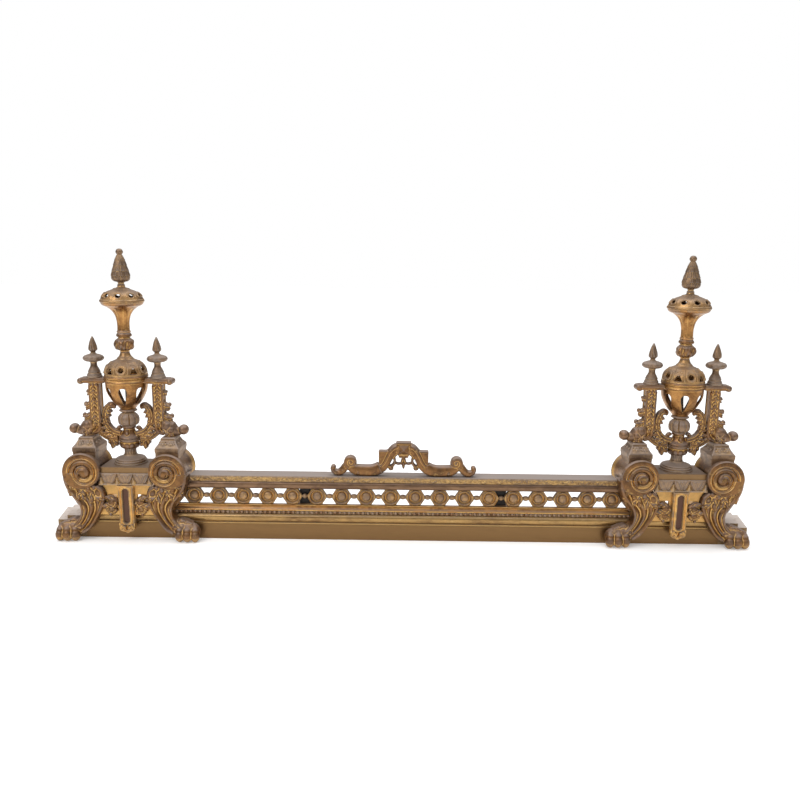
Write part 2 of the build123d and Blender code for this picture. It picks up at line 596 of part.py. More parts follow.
def make_crest_arch():
    top = CREST_HEIGHT
    back = CREST_FRONT + CREST_THICK
    end = CREST_ARM_START
    outer = [(end, 29), (end, 43), (27, 43), (24, 47), (11.5, 50), (11.5, top - 2), (0, top)]
    under = [(8, 44), (18, 41), (24, 36), (27, 29)]
    points = outer + flip(outer[:-1][::-1], -1) + flip(under[::-1], -1) + under
    arch = prism(shift(points, 0, RAIL_TOP), CREST_FRONT, back)
    facet = [(0, 36), (10, 42), (12, 52), (0, top - 1), (-12, 52), (-10, 42)]
    arch += prism(shift(facet, 0, RAIL_TOP), CREST_FRONT - 1.5, CREST_FRONT + 2)
    drops = [[(0, 44), (0, 14)], [(7, 44), (14, 34), (10.5, 24), (14.5, 14)]]
    drops += [[(end - 5, 31), (28, 24), (20, 20), (14.5, 14)]]
    for path in drops:
        for side in (-1, 1):
            band = shift(flip(strap(path, 2.6), side), 0, RAIL_TOP)
            arch += prism(band, CREST_FRONT + 2, back - 2)
    return arch


def make_return(side):
    x0 = PLINTH_HALF
    x1 = PLINTH_HALF + RETURN_WIDTH
    z0, z1, z2 = 0, RETURN_STEP, RETURN_TOP
    flare = RETURN_SPLAY
    front = PLINTH_FRONT
    outline = [(x0, front), (x1, front), (x1 + flare, ROW_DEPTH), (x0, ROW_DEPTH)]
    face = make_face(Polyline(*[(side * px, at(d), z0) for px, d in outline], close=True))
    lower = extrude(face, amount=z1, dir=(0, 0, 1))
    step = RETURN_STEP_WIDTH
    back = ROW_DEPTH - RETURN_BACK_STEP
    inner = [(x0, front), (x1 - step, front), (x1 + flare - step, back), (x0, back)]
    face = make_face(Polyline(*[(side * px, at(d), z1) for px, d in inner], close=True))
    return lower + extrude(face, amount=z2 - z1, dir=(0, 0, 1))


# ---- build ---------------------------------------------------------------------------
nodes = {}
half = PLINTH_HALF
plinth = block(-half, half, PLINTH_FRONT, BASE_BACK, 0, PLINTH_TOP)
wall = PLINTH_WALL
plinth -= block(-half, half, PLINTH_FRONT + wall, BASE_BACK - wall, 0, PLINTH_TOP - wall)
nodes["base_plinth"] = plinth

f, z = PLINTH_FRONT, PLINTH_TOP
moves = [(f + 1, z + 2), (f + 3, z + 3)]
moves += [[(f + 0.9, z + 5), (f + 0.1, z + 9), (f + 0.9, z + 13), (f + 3, TORUS_TOP - 0.5)]]
moves += [(f + 3, TORUS_TOP), (BASE_BACK, TORUS_TOP), (BASE_BACK, z)]
nodes["base_torus_moulding"] = bar((f + 1, z), moves, -half, half)

f = PLINTH_FRONT + BEAD_INSET
moves = [[(f - 0.9, TORUS_TOP + 1.6), (f - 0.9, BEAD_TOP - 1.6), (f + 1, BEAD_TOP)]]
moves += [(BASE_BACK, BEAD_TOP), (BASE_BACK, TORUS_TOP)]
nodes["base_bead_moulding"] = bar((f + 1, TORUS_TOP), moves, -half, half)

f, z = PLINTH_FRONT + BASE_TOP_INSET, BEAD_TOP
moves = [(f - 3.5, z + 1.2)]
moves += [[(f - 2.6, z + 2.4), (f - 0.4, z + 3.6), (f + 0.2, z + 6), (f - 1, BASE_TOP - 1)]]
moves += [(f - 1, BASE_TOP), (BASE_BACK, BASE_TOP), (BASE_BACK, z)]
top = bar((f - 3.5, z), moves, -half, half)
pad_inner = JOINT_X - POST_WIDTH / 2 - POST_PAD
pad_outer = JOINT_X + POST_WIDTH / 2 + POST_PAD
lip_end = AXIS_X - BODY_HALF - POST_PAD
for x0, x1 in ((-lip_end, -pad_outer), (-pad_inner, pad_inner), (pad_outer, lip_end)):
    top -= block(x0, x1, TOP_LIP_BACK, BASE_BACK + 1, BEAD_TOP - 1, BASE_TOP + 1)
nodes["base_top_moulding"] = top

f, z = RAIL_FRONT + ROLL_INSET, RAIL_BOTTOM
back = RAIL_BACK - 2
reach = AXIS_X
moves = [[(f + 1, z + 1.6), (f, (z + ROLL_TOP) / 2), (f + 1, ROLL_TOP - 1.6), (f + 4, ROLL_TOP)]]
rails = {"rail_roll_moulding": bar((f + 4, z), moves + [(back, ROLL_TOP), (back, z)], -reach, reach)}
rails["rail_frieze"] = block(-reach, reach, RAIL_FRONT + FRIEZE_INSET, back, ROLL_TOP, FRIEZE_TOP)
f, z = RAIL_FRONT, FRIEZE_TOP
moves = [[(f, z + 1), (f, RAIL_TOP - 1), (f + 1, RAIL_TOP)], (RAIL_BACK, RAIL_TOP), (RAIL_BACK, z)]
rails["rail_cap"] = bar((f + 1, z), moves, -reach, reach)

centre_hexes = [HEX_PITCH * (i + 0.5) for i in range(-HEX_COUNT_CENTRE_HALF, HEX_COUNT_CENTRE_HALF)]
end_hexes = [HEX_PITCH * (i + 0.5) for i in range(HEX_COUNT_CENTRE_HALF, HEX_COUNT_HALF)]
gallery_end = end_hexes[-1] + HEX_PITCH
rails["gallery_centre"] = make_gallery(centre_hexes, -JOINT_X, JOINT_X)
rails["gallery_right"] = make_gallery(end_hexes, JOINT_X, gallery_end)
rails["gallery_left"] = make_gallery([-c for c in end_hexes[::-1]], -gallery_end, -JOINT_X)

posts = []
post_front = GALLERY_FRONT + HEX_THICK
for side in (-1, 1):
    x0 = side * JOINT_X - POST_WIDTH / 2
    posts.append(block(x0, x0 + POST_WIDTH, post_front, post_front + POST_THICK, BASE_TOP, RAIL_BOTTOM))
nodes["rear_posts"] = Compound(posts)

inner_legs = {}
rods = []
for name, x, outward in (("left", -AXIS_X, -1), ("right", AXIS_X, 1)):
    envelopes = [leg_envelope(-1, x), leg_envelope(1, x)]
    for place, side in (("outer", outward), ("inner", -outward)):
        nodes[f"{name}_{place}_leg"] = make_leg(side, x)
        nodes[f"{name}_{place}_cap_block"] = make_cap_block(side, x, leg_envelope(side, x))
        nodes[f"{name}_{place}_column"] = make_column(side, x)
    inner_legs[name] = leg_envelope(-outward, x)
    nodes[f"{name}_body"] = make_body(x, envelopes)
    nodes[f"{name}_egg_moulding"] = make_egg_moulding(x, envelopes)
    nodes[f"{name}_pendant_label"] = make_label(x)
    nodes[f"{name}_acanthus_leaves"] = make_leaves(x, envelopes)
    nodes[f"{name}_small_finials"] = make_small_finials(x)
    columns = [nodes[f"{name}_outer_column"], nodes[f"{name}_inner_column"]]
    nodes[f"{name}_lyre_arms"] = make_lyre(x, columns)
    for piece, shape in urn_stack(x).items():
        nodes[f"{name}_{piece}"] = shape
    rods.append(tie_rod(x))
nodes["tie_rods"] = Compound(rods)

for piece, shape in rails.items():
    for leg in inner_legs.values():
        shape -= leg
    nodes[piece] = largest(shape)

nodes["crest_arch"] = make_crest_arch()
nodes["crest_left_scroll"] = crest_arm(-1)
nodes["crest_right_scroll"] = crest_arm(1)
nodes["left_return"] = make_return(-1)
nodes["right_return"] = make_return(1)

os.makedirs("parts", exist_ok=True)
for name, shape in nodes.items():
    export_step(shape, f"parts/{name}.step")
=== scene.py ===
import bmesh
import bpy
import math
import numpy as np
from mathutils import Matrix, Vector, noise


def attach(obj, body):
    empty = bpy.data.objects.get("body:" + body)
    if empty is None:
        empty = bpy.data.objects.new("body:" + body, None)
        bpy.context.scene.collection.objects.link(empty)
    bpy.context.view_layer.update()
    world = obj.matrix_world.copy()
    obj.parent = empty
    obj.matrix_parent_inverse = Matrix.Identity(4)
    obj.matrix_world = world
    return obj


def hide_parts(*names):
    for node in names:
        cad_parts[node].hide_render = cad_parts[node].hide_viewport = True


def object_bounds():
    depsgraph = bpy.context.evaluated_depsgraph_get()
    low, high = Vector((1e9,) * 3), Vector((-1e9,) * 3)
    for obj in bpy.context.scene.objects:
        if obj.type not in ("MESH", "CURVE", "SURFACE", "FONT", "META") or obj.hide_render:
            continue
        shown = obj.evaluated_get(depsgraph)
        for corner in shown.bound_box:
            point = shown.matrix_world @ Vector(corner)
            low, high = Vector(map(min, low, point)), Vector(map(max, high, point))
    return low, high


# Gilt-bronze hearth fender. Shapes are drawn in millimetres as (x, depth, height), with
# depth from the front of the paws, and every pedestal shape about its own urn axis.

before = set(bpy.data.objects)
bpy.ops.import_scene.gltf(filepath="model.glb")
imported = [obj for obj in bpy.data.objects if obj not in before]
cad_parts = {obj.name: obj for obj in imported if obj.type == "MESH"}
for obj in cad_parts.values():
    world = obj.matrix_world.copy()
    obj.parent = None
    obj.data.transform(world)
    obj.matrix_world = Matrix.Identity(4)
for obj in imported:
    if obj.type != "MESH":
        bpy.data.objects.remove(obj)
cad_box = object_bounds()
MM = 0.001
FRONT = cad_box[0].y / MM
AXIS_X = 425.0
AXIS_D = 42.0
TAU = 2 * math.pi
LEAF_CUTS = 24
SHELL_VOXEL = 0.5

# ---- helpers -------------------------------------------------------------------------


def curve(points, n=6, closed=False):
    """Catmull-Rom curve through points of any dimension."""
    out, m = [], len(points)
    for i in range(m if closed else m - 1):
        if closed:
            p = [points[(i + k) % m] for k in (-1, 0, 1, 2)]
        else:
            p = [points[min(max(i + k, 0), m - 1)] for k in (-1, 0, 1, 2)]
        for j in range(n):
            t = j / n
            out.append(tuple(0.5 * (2 * b + (c - a) * t + (2 * a - 5 * b + 4 * c - d) * t * t
                                    + (3 * b - a - 3 * c + d) * t ** 3) for a, b, c, d in zip(*p)))
    if not closed:
        out.append(tuple(points[-1]))
    return out


def outline(moves, n=6):
    """Profile from corner points; a list of points is a curve from the point before it."""
    points = [moves[0]]
    for move in moves[1:]:
        if isinstance(move, list):
            points += curve([points[-1]] + move, n)[1:]
        else:
            points.append(move)
    return points


def join(*parts):
    verts, faces = [], []
    for v, f in parts:
        base = len(verts)
        verts += v
        faces += [tuple(i + base for i in face) for face in f]
    return verts, faces


def mirrored(part):
    return [(-x, d, z) for x, d, z in part[0]], [face[::-1] for face in part[1]]


def turned(part, angle, x=0.0, d=AXIS_D):
    c, s = math.cos(angle), math.sin(angle)
    verts = [(x + (px - x) * c - (pd - d) * s, d + (px - x) * s + (pd - d) * c, z)
             for px, pd, z in part[0]]
    return verts, part[1]


def rings_to_faces(rings, loop):
    faces = []
    pairs = list(zip(rings, rings[1:]))
    if loop:
        pairs.append((rings[-1], rings[0]))
    for a, b in pairs:
        count = max(len(a), len(b))
        for i in range(count):
            j = (i + 1) % count
            if len(a) == 1:
                faces.append((a[0], b[j], b[i]))
            elif len(b) == 1:
                faces.append((a[i], a[j], b[0]))
            else:
                faces.append((a[i], a[j], b[j], b[i]))
    return faces


def lathe(profile, segs=96, bend=None, x=0.0, d=AXIS_D):
    """Turned shape; turn 0 faces the front. bend(r, z, turn) changes a point's radius."""
    verts, rings = [], []
    for r, z in profile:
        if r < 1e-6:
            rings.append([len(verts)])
            verts.append((x, d, z))
            continue
        rings.append(list(range(len(verts), len(verts) + segs)))
        for i in range(segs):
            t = TAU * i / segs
            radius = bend(r, z, t) if bend else r
            verts.append((x + radius * math.sin(t), d - radius * math.cos(t), z))
    return verts, rings_to_faces(rings, len(rings[0]) > 1)


def ball(x, d, z, rx, rd=None, rz=None, segs=20, rows=12):
    rd, rz = rd or rx, rz or rx
    profile = [(math.sin(math.pi * i / rows), -math.cos(math.pi * i / rows))
        for i in range(rows + 1)]
    profile[0], profile[-1] = (0, -1), (0, 1)
    verts, faces = lathe(profile, segs, x=0, d=0)
    return [(x + rx * a, d + rd * b, z + rz * c) for a, b, c in verts], faces


def tube(path, radii, segs=14, deep=1.0):
    """Round bar along (x, depth, height) points; radii run evenly along it."""
    points = [Vector(p) for p in path]
    n = len(points)
    verts, rings = [], []

    def radius(s):
        at = s * (len(radii) - 1)
        i = min(int(at), len(radii) - 2)
        return radii[i] + (radii[i + 1] - radii[i]) * (at - i)

    up = Vector((0, 1, 0))
    for i, p in enumerate(points):
        along = (points[min(i + 1, n - 1)] - points[max(i - 1, 0)]).normalized()
        side = along.cross(up)
        if side.length < 1e-3:
            side = along.cross(Vector((0, 0, 1)))
        side.normalize()
        up = side.cross(along).normalized()
        r = radius(i / (n - 1))
        if i == 0:
            rings.append([0])
            verts.append(tuple(p - along * r * 0.55))
        rings.append(list(range(len(verts), len(verts) + segs)))
        for k in range(segs):
            a = TAU * k / segs
            verts.append(tuple(p + side * (r * math.cos(a)) + up * (r * deep * math.sin(a))))
        if i == n - 1:
            rings.append([len(verts)])
            verts.append(tuple(p + along * r * 0.55))
    return verts, rings_to_faces(rings, False)


def band(path, widths, front, back, shape=None, n=12):
    """Ribbon along (x, height) points; shape(u, s) stands forward, u -1..1 across, s 0..1 along."""
    verts, faces, m = [], [], len(path)
    for i, (x, z) in enumerate(path):
        s = i / (m - 1)
        x0, z0 = path[max(i - 1, 0)]
        x1, z1 = path[min(i + 1, m - 1)]
        run = math.hypot(x1 - x0, z1 - z0) or 1.0
        nx, nz = -(z1 - z0) / run, (x1 - x0) / run
        at = s * (len(widths) - 1)
        k = min(int(at), len(widths) - 2)
        w = widths[k] + (widths[k + 1] - widths[k]) * (at - k)
        face = front(s) if callable(front) else front
        for j in range(n + 1):
            u = 2 * j / n - 1
            lift = shape(u, s) if shape else 0.0
            verts.append((x + nx * u * w, face - lift, z + nz * u * w))
        verts.append((x + nx * w, back, z + nz * w))
        verts.append((x - nx * w, back, z - nz * w))
    size = n + 3
    for i in range(m - 1):
        for k in range(size):
            j = (k + 1) % size
            faces.append((i * size + k, i * size + j, (i + 1) * size + j, (i + 1) * size + k))
    faces.append(tuple(range(size)))
    faces.append(tuple(range((m - 1) * size, m * size)))
    return verts, faces


def frustum(cx, cd, z0, z1, w0, e0, w1, e1):
    """Four-sided block with half sizes (w, e) at its foot and top."""
    verts = []
    for z, w, e in ((z0, w0, e0), (z1, w1, e1)):
        verts += [(cx - w, cd - e, z), (cx + w, cd - e, z), (cx + w, cd + e, z),
            (cx - w, cd + e, z)]
    return verts, [(0, 1, 2, 3), (4, 5, 6, 7), (0, 1, 5, 4), (1, 2, 6, 5), (2, 3, 7, 6),
        (3, 0, 4, 7)]


def relief(x0, x1, z0, z1, step, face, back):
    """Plate whose front is at depth face(x, z)."""
    nx, nz = max(2, round((x1 - x0) / step)), max(2, round((z1 - z0) / step))
    verts, faces = [], []
    for j in range(nz + 1):
        for i in range(nx + 1):
            x, z = x0 + (x1 - x0) * i / nx, z0 + (z1 - z0) * j / nz
            verts.append((x, face(x, z), z))
    row = nx + 1
    for j in range(nz):
        for i in range(nx):
            a = j * row + i
            faces.append((a, a + 1, a + row + 1, a + row))
    rim = list(range(row)) + [j * row + nx for j in range(1, nz + 1)]
    rim += [nz * row + i for i in range(nx - 1, -1, -1)] + [j * row for j in range(nz - 1, 0, -1)]
    base = len(verts)
    verts += [(verts[i][0], back, verts[i][2]) for i in rim]
    count = len(rim)
    for k in range(count):
        j = (k + 1) % count
        faces.append((rim[k], rim[j], base + j, base + k))
    faces.append(tuple(range(base, base + count)))
    return verts, faces


def slab(points, front, back):
    """Plate of even thickness from (x, height) points."""
    n = len(points)
    verts = [(x, front, z) for x, z in points] + [(x, back, z) for x, z in points]
    faces = [tuple(range(n)), tuple(range(2 * n - 1, n - 1, -1))]
    return verts, faces + [(k, (k + 1) % n, n + (k + 1) % n, n + k) for k in range(n)]


def extrusion(section, x0, x1):
    """Moulding along X from (depth, height) points."""
    n = len(section)
    verts = [(x, d, z) for x in (x0, x1) for d, z in section]
    faces = [(k, (k + 1) % n, n + (k + 1) % n, n + k) for k in range(n)]
    return verts, faces + [tuple(range(n)), tuple(range(n, 2 * n))]


def leaf(root, tip, width, front, back, lobes=4, bow=0.0, curl=3.0, depth=2.2):
    """Lobed leaf with a mid rib; bow bends it sideways and curl throws its tip forward."""
    (x0, z0), (x1, z1) = root, tip
    nx, nz = -(z1 - z0), x1 - x0
    path, widths = [], []
    for i in range(LEAF_CUTS + 1):
        s = i / LEAF_CUTS
        side = bow * math.sin(math.pi * s)
        path.append((x0 + (x1 - x0) * s + nx * side, z0 + (z1 - z0) * s + nz * side))
        body = math.sin(math.pi * min(1.0, 0.12 + 0.88 * s)) ** 0.7
        widths.append(max(0.35, width * body * (0.74 + 0.26 * abs(math.cos(lobes * math.pi * s)))))

    def shape(u, s):
        ribs = 0.35 * math.cos(TAU * (lobes * s - abs(u) * 0.9))
        return depth * (1 - u * u) * (0.6 + ribs) + 0.9 * math.exp(-(u / 0.14) ** 2) + curl * s ** 3

    return band(path, widths, front, back, shape, 10)


def face_out(mesh):
    """Turn every face's normal outwards."""
    bm = bmesh.new()
    bm.from_mesh(mesh)
    bmesh.ops.recalc_face_normals(bm, faces=bm.faces)
    bm.to_mesh(mesh)
    bm.free()


def work_object(part):
    """Short-lived object that modifiers can act on."""
    mesh = bpy.data.meshes.new("work")
    mesh.from_pydata(part[0], [], part[1])
    face_out(mesh)
    work = bpy.data.objects.new("work", mesh)
    bpy.context.scene.collection.objects.link(work)
    return work


def one_skin(work, voxel, rounds):
    """Remeshed and softened surface of a work object, as points and faces."""
    remesh = work.modifiers.new("skin", "REMESH")
    remesh.mode = "VOXEL"
    remesh.voxel_size = voxel
    soften = work.modifiers.new("soften", "SMOOTH")
    soften.factor = 0.5
    soften.iterations = rounds
    shape = work.evaluated_get(bpy.context.evaluated_depsgraph_get())
    result = bpy.data.meshes.new_from_object(shape)
    part = ([tuple(v.co) for v in result.vertices], [tuple(p.vertices) for p in result.polygons])
    bpy.data.meshes.remove(result)
    return part


def discard(work):
    mesh = work.data
    bpy.data.objects.remove(work)
    bpy.data.meshes.remove(mesh)


def fused(part, voxel, rounds):
    """One skin round overlapping castings."""
    work = work_object(part)
    skin = one_skin(work, voxel, rounds)
    discard(work)
    return skin


def holed(part, holes):
    """Shell with through openings cut by closed shapes."""
    work, cutter = work_object(part), work_object(holes)
    cut = work.modifiers.new("cut", "BOOLEAN")
    cut.operation = "DIFFERENCE"
    cut.solver = "EXACT"
    cut.object = cutter
    skin = one_skin(work, SHELL_VOXEL, 2)
    discard(work)
    discard(cutter)
    return skin


def mark_hollows(mesh, rounds=16):
    """How far each point lies below (+) or above (-) its smoothed surroundings, in millimetres."""
    n = len(mesh.vertices)
    co = np.empty(n * 3)
    mesh.vertices.foreach_get("co", co)
    co = co.reshape(-1, 3) / MM
    normal = np.empty(n * 3)
    mesh.vertex_normals.foreach_get("vector", normal)
    edges = np.empty(len(mesh.edges) * 2, dtype=np.int64)
    mesh.edges.foreach_get("vertices", edges)
    a, b = edges.reshape(-1, 2).T
    degree = np.maximum(np.bincount(a, minlength=n) + np.bincount(b, minlength=n), 1)
    soft = co.copy()
    for _ in range(rounds):
        for k in range(3):
            near = np.bincount(a, soft[b, k], n) + np.bincount(b, soft[a, k], n)
            soft[:, k] = 0.5 * soft[:, k] + 0.5 * near / degree
    hollow = ((soft - co) * normal.reshape(-1, 3)).sum(1)
    mark = mesh.attributes.new("hollow", "FLOAT", "POINT")
    mark.data.foreach_set("value", hollow.astype(np.float32))


def mesh_of(name, part, sharp=40, paint=None):
    """paint(x, d, z) is 1 for bright gilt (on the volute and the toes a painted highlight), 0 for
    patina, -1 for dust (on some tops also a painted pale reflection) and -2 for the dark brown of
    painted shade.
    """
    mesh = bpy.data.meshes.new(name)
    verts = [(x * MM, (d + FRONT) * MM, z * MM) for x, d, z in part[0]]
    mesh.from_pydata(verts, [], part[1])
    face_out(mesh)
    mesh.shade_smooth()
    mark_hollows(mesh)
    if paint:
        mark = mesh.attributes.new("paint", "FLOAT", "POINT")
        mark.data.foreach_set("value", [paint(abs(x), d, z) for x, d, z in part[0]])
    if sharp:
        mesh.set_sharp_from_angle(angle=math.radians(sharp))
    return mesh


def both_sides(name, part, sharp, paint):
    """The casting on the +X side of a pedestal and its mirror image, by side."""
    return {1: mesh_of(name, part, sharp, paint),
            -1: mesh_of(name + "_mirrored", mirrored(part), sharp, paint)}


def piece(name, mesh, material, slot, nodes, x=0.0):
    """Link a mesh that stands for CAD nodes."""
    obj = bpy.data.objects.new(name, mesh)
    bpy.context.scene.collection.objects.link(obj)
    obj.location.x = x * MM
    if not mesh.materials:
        mesh.materials.append(material)
    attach(obj, "root")
    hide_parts(*nodes)
    return obj


# ---- materials -----------------------------------------------------------------------


# Dark brown painted as shade in the pendant label's slot.
SLOT_SHADE_BROWN = (0.10, 0.052, 0.036, 1)
VERDIGRIS = (0.13, 0.15, 0.075, 1)
UPPER_BROWN = (0.16, 0.095, 0.048, 1)


# The dust colour and its amount go on upward and raised faces; on upward faces the pale tone is
# partly a painted sky reflection.
def bronze(name, gold, mid, dark, dust, gilt=0.5, dusty_and_sheened=0.7, patch=0.5, rough=0.38, metal=0.85,
           bump=0.35, green=0.0, stretch=1.0, brown_over=None):
    """Aged gilt bronze: brown patina, gold where sheltered and on worn edges (partly a painted edge
    highlight), dust on upward faces (partly a painted sky reflection), and painted shade in the
    deepest hollows.
    """
    gold, mid, dark, dust = ((*colour, 1) for colour in (gold, mid, dark, dust))
    mat = bpy.data.materials.new(name)
    mat.use_nodes = True
    nodes, links = mat.node_tree.nodes, mat.node_tree.links
    shader = nodes["Principled BSDF"]

    def socket(value, target):
        if hasattr(value, "links"):
            links.new(value, target)
        else:
            target.default_value = value

    def math_node(op, a, b=0.0, c=0.0):
        node = nodes.new("ShaderNodeMath")
        node.operation = op
        node.use_clamp = op in ("ADD", "MULTIPLY", "SUBTRACT", "MULTIPLY_ADD")
        for value, target in zip((a, b, c), node.inputs):
            socket(value, target)
        return node.outputs[0]

    def times(a, b):
        return math_node("MULTIPLY", a, b)

    def most(a, b):
        return math_node("MAXIMUM", a, b)

    def step(value, low, high, to_low=0.0, to_high=1.0):
        node = nodes.new("ShaderNodeMapRange")
        node.interpolation_type = "SMOOTHSTEP"
        for value, target in zip((value, low, high, to_low, to_high), node.inputs):
            socket(value, target)
        return node.outputs[0]

    def mix(factor, a, b):
        node = nodes.new("ShaderNodeMix")
        node.data_type = "RGBA"
        socket(factor, node.inputs[0])
        socket(a, node.inputs[6])
        socket(b, node.inputs[7])
        return node.outputs[2]

    geometry = nodes.new("ShaderNodeNewGeometry")
    split = nodes.new("ShaderNodeSeparateXYZ")
    links.new(geometry.outputs["Normal"], split.inputs[0])
    noises = []
    along = nodes.new("ShaderNodeMapping")
    along.inputs["Scale"].default_value = (stretch, 1, 1)
    links.new(geometry.outputs["Position"], along.inputs["Vector"])
    for size, detail in ((38, 5), (130, 6), (700, 5)):
        node = nodes.new("ShaderNodeTexNoise")
        links.new(along.outputs[0], node.inputs["Vector"])
        node.inputs["Scale"].default_value = size
        node.inputs["Detail"].default_value = detail
        node.inputs["Roughness"].default_value = 0.62
        noises.append(node.outputs["Fac"])
    cloud, mottle, grain = noises
    mark = nodes.new("ShaderNodeAttribute")
    mark.attribute_name = "hollow"
    hollow = mark.outputs["Fac"]
    point = geometry.outputs["Pointiness"]
    recess = most(step(hollow, 0.03, 0.30), step(point, 0.498, 0.470))
    # Depth mask of the deepest hollows, used for painted shade.
    deep = step(hollow, 0.45, 1.1)
    proud = step(hollow, -0.03, -0.35)
    wear = math_node("MULTIPLY_ADD", mottle, 0.5, times(cloud, 0.5))
    body = mix(step(wear, 0.42, 0.60), mid, dark)
    body = mix(times(step(grain, 0.50, 0.72), 0.45), body, dark)
    shelter = times(recess, gilt)
    patches = times(step(mottle, 0.54, 0.70), patch)
    # Gold on worn convex edges, which also paints their highlight.
    worn_and_highlit_edges = times(times(step(point, 0.53, 0.60), step(wear, 0.44, 0.54)), 0.8)
    brush = nodes.new("ShaderNodeAttribute")
    brush.attribute_name = "paint"
    brush = brush.outputs["Fac"]
    # Gold from the paint attribute: gilt, and on the volute and the toes a painted highlight.
    painted_gilt_and_highlight = times(step(brush, 0.0, 1.0), step(wear, 0.62, 0.44, 0.45, 1.0))
    # Gold mask: sheltered and worn gilt together with the painted highlights.
    gilt_and_highlight = most(math_node("ADD", shelter, patches), times(worn_and_highlit_edges, gilt))
    gilt_and_highlight = most(gilt_and_highlight, painted_gilt_and_highlight)
    body = mix(gilt_and_highlight, body, gold)
    # Painted shade: the deepest hollows are darkened.
    body = mix(times(deep, 0.75), body, dark)
    # Painted shade: dark brown where the paint attribute is -2.
    body = mix(step(brush, -1.4, -1.9), body, SLOT_SHADE_BROWN)
    if green:
        body = mix(times(step(cloud, 0.50, 0.66), green), body, VERDIGRIS)
    if brown_over:
        place = nodes.new("ShaderNodeSeparateXYZ")
        links.new(geometry.outputs["Position"], place.inputs[0])
        body = mix(step(place.outputs["Z"], brown_over, brown_over + 0.0012, 0.0, 0.85), body,
                   UPPER_BROWN)
    # Pale tone on upward faces: settled dust and a painted sky reflection.
    upward = step(split.outputs["Z"], 0.25, 0.95)
    sky_sheen_and_settled_dust = times(upward, step(wear, 0.30, 0.52, 0.45, 1.0))
    bloom = times(proud, step(wear, 0.40, 0.58, 0.15, 0.75))
    # Dust from the paint attribute; on some tops it also paints a pale reflection.
    laid_dust_and_sheen = times(step(brush, 0.0, -1.0), step(wear, 0.36, 0.54, 0.55, 1.0))
    laid_dust_and_sheen = times(laid_dust_and_sheen, step(brush, -1.9, -1.4))
    dust_and_sky_sheen = most(times(math_node("ADD", sky_sheen_and_settled_dust, bloom), dusty_and_sheened), laid_dust_and_sheen)
    colour = mix(dust_and_sky_sheen, body, dust)
    links.new(colour, shader.inputs["Base Color"])
    links.new(step(dust_and_sky_sheen, 0.0, 1.0, metal, metal * 0.45), shader.inputs["Metallic"])
    worn = math_node("MULTIPLY_ADD", grain, 0.22, rough - 0.11)
    links.new(math_node("MULTIPLY_ADD", dust_and_sky_sheen, 0.30, worn), shader.inputs["Roughness"])
    relief_map = nodes.new("ShaderNodeBump")
    relief_map.inputs["Strength"].default_value = bump
    relief_map.inputs["Distance"].default_value = 0.0005
    links.new(math_node("MULTIPLY_ADD", mottle, 0.6, times(grain, 0.4)),
              relief_map.inputs["Height"])
    links.new(relief_map.outputs[0], shader.inputs["Normal"])
    return mat


GOLD = (0.66, 0.40, 0.13)
BRIGHT = (0.62, 0.415, 0.165)
MAUVE = (0.27, 0.205, 0.17)
cast = bronze("gilt_bronze_cast", (0.60, 0.36, 0.12), (0.22, 0.108, 0.040), (0.085, 0.042, 0.020),
    MAUVE, gilt=0.95, dusty_and_sheened=0.72, patch=0.40, rough=0.36)
turned_gilt = bronze("gilt_bronze_turned", GOLD, (0.40, 0.20, 0.065), (0.17, 0.078, 0.028), MAUVE,
                     gilt=0.8, dusty_and_sheened=0.50, patch=0.35, rough=0.30, metal=0.92)
boss_gilt = bronze("gilt_bronze_boss", (0.72, 0.47, 0.19), (0.42, 0.245, 0.10),
    (0.17, 0.092, 0.042), (0.24, 0.18, 0.14), gilt=0.85, dusty_and_sheened=0.60, patch=0.50, rough=0.36)
dusty_and_sheened = bronze("dusty_bronze", (0.46, 0.29, 0.12), (0.26, 0.165, 0.095), (0.115, 0.072, 0.045),
               (0.31, 0.245, 0.205), gilt=0.7, dusty_and_sheened=0.85, patch=0.20, rough=0.45, metal=0.75)
finial_brown = bronze("dusty_bronze_finial", (0.42, 0.27, 0.12), (0.22, 0.135, 0.075),
                      (0.10, 0.062, 0.038), (0.29, 0.23, 0.19), gilt=0.8, dusty_and_sheened=0.7, patch=0.15,
                      rough=0.45, metal=0.7)
panel_gilt = bronze("gilt_bronze_panel", (0.74, 0.45, 0.145), (0.56, 0.31, 0.10),
    (0.27, 0.145, 0.052), (0.21, 0.155, 0.12), gilt=0.7, dusty_and_sheened=0.85, patch=0.45, metal=0.85,
    green=0.10, brown_over=0.1068)
plinth_brass = bronze("plinth_brass", (0.29, 0.172, 0.066), (0.195, 0.110, 0.044),
                      (0.165, 0.090, 0.036), (0.30, 0.24, 0.17), gilt=0.3, dusty_and_sheened=0.5, patch=0.25,
                      rough=0.34, metal=0.85, bump=0.15, stretch=0.12)
bright = bronze("bright_gilt", BRIGHT, (0.40, 0.245, 0.092), (0.17, 0.092, 0.040),
    (0.34, 0.27, 0.20), gilt=0.5, dusty_and_sheened=0.5, patch=0.55, rough=0.30, metal=0.9, stretch=0.35)
# The rail cap's pale top is dust and a painted sky reflection.
rail_dust_and_sheen = bronze("dusty_rail_and_sky_sheen", (0.42, 0.29, 0.17), (0.27, 0.19, 0.13), (0.19, 0.13, 0.09),
    (0.27, 0.225, 0.20), gilt=0.2, dusty_and_sheened=0.95, patch=0.1, rough=0.42, metal=0.6, bump=0.15,
    stretch=0.4)
roll_brown = bronze("rail_roll_brown", (0.38, 0.23, 0.10), (0.215, 0.125, 0.068),
                    (0.12, 0.068, 0.040), (0.27, 0.20, 0.165), gilt=0.3, dusty_and_sheened=0.6, patch=0.25,
                    rough=0.34, metal=0.8, bump=0.2, stretch=0.4)
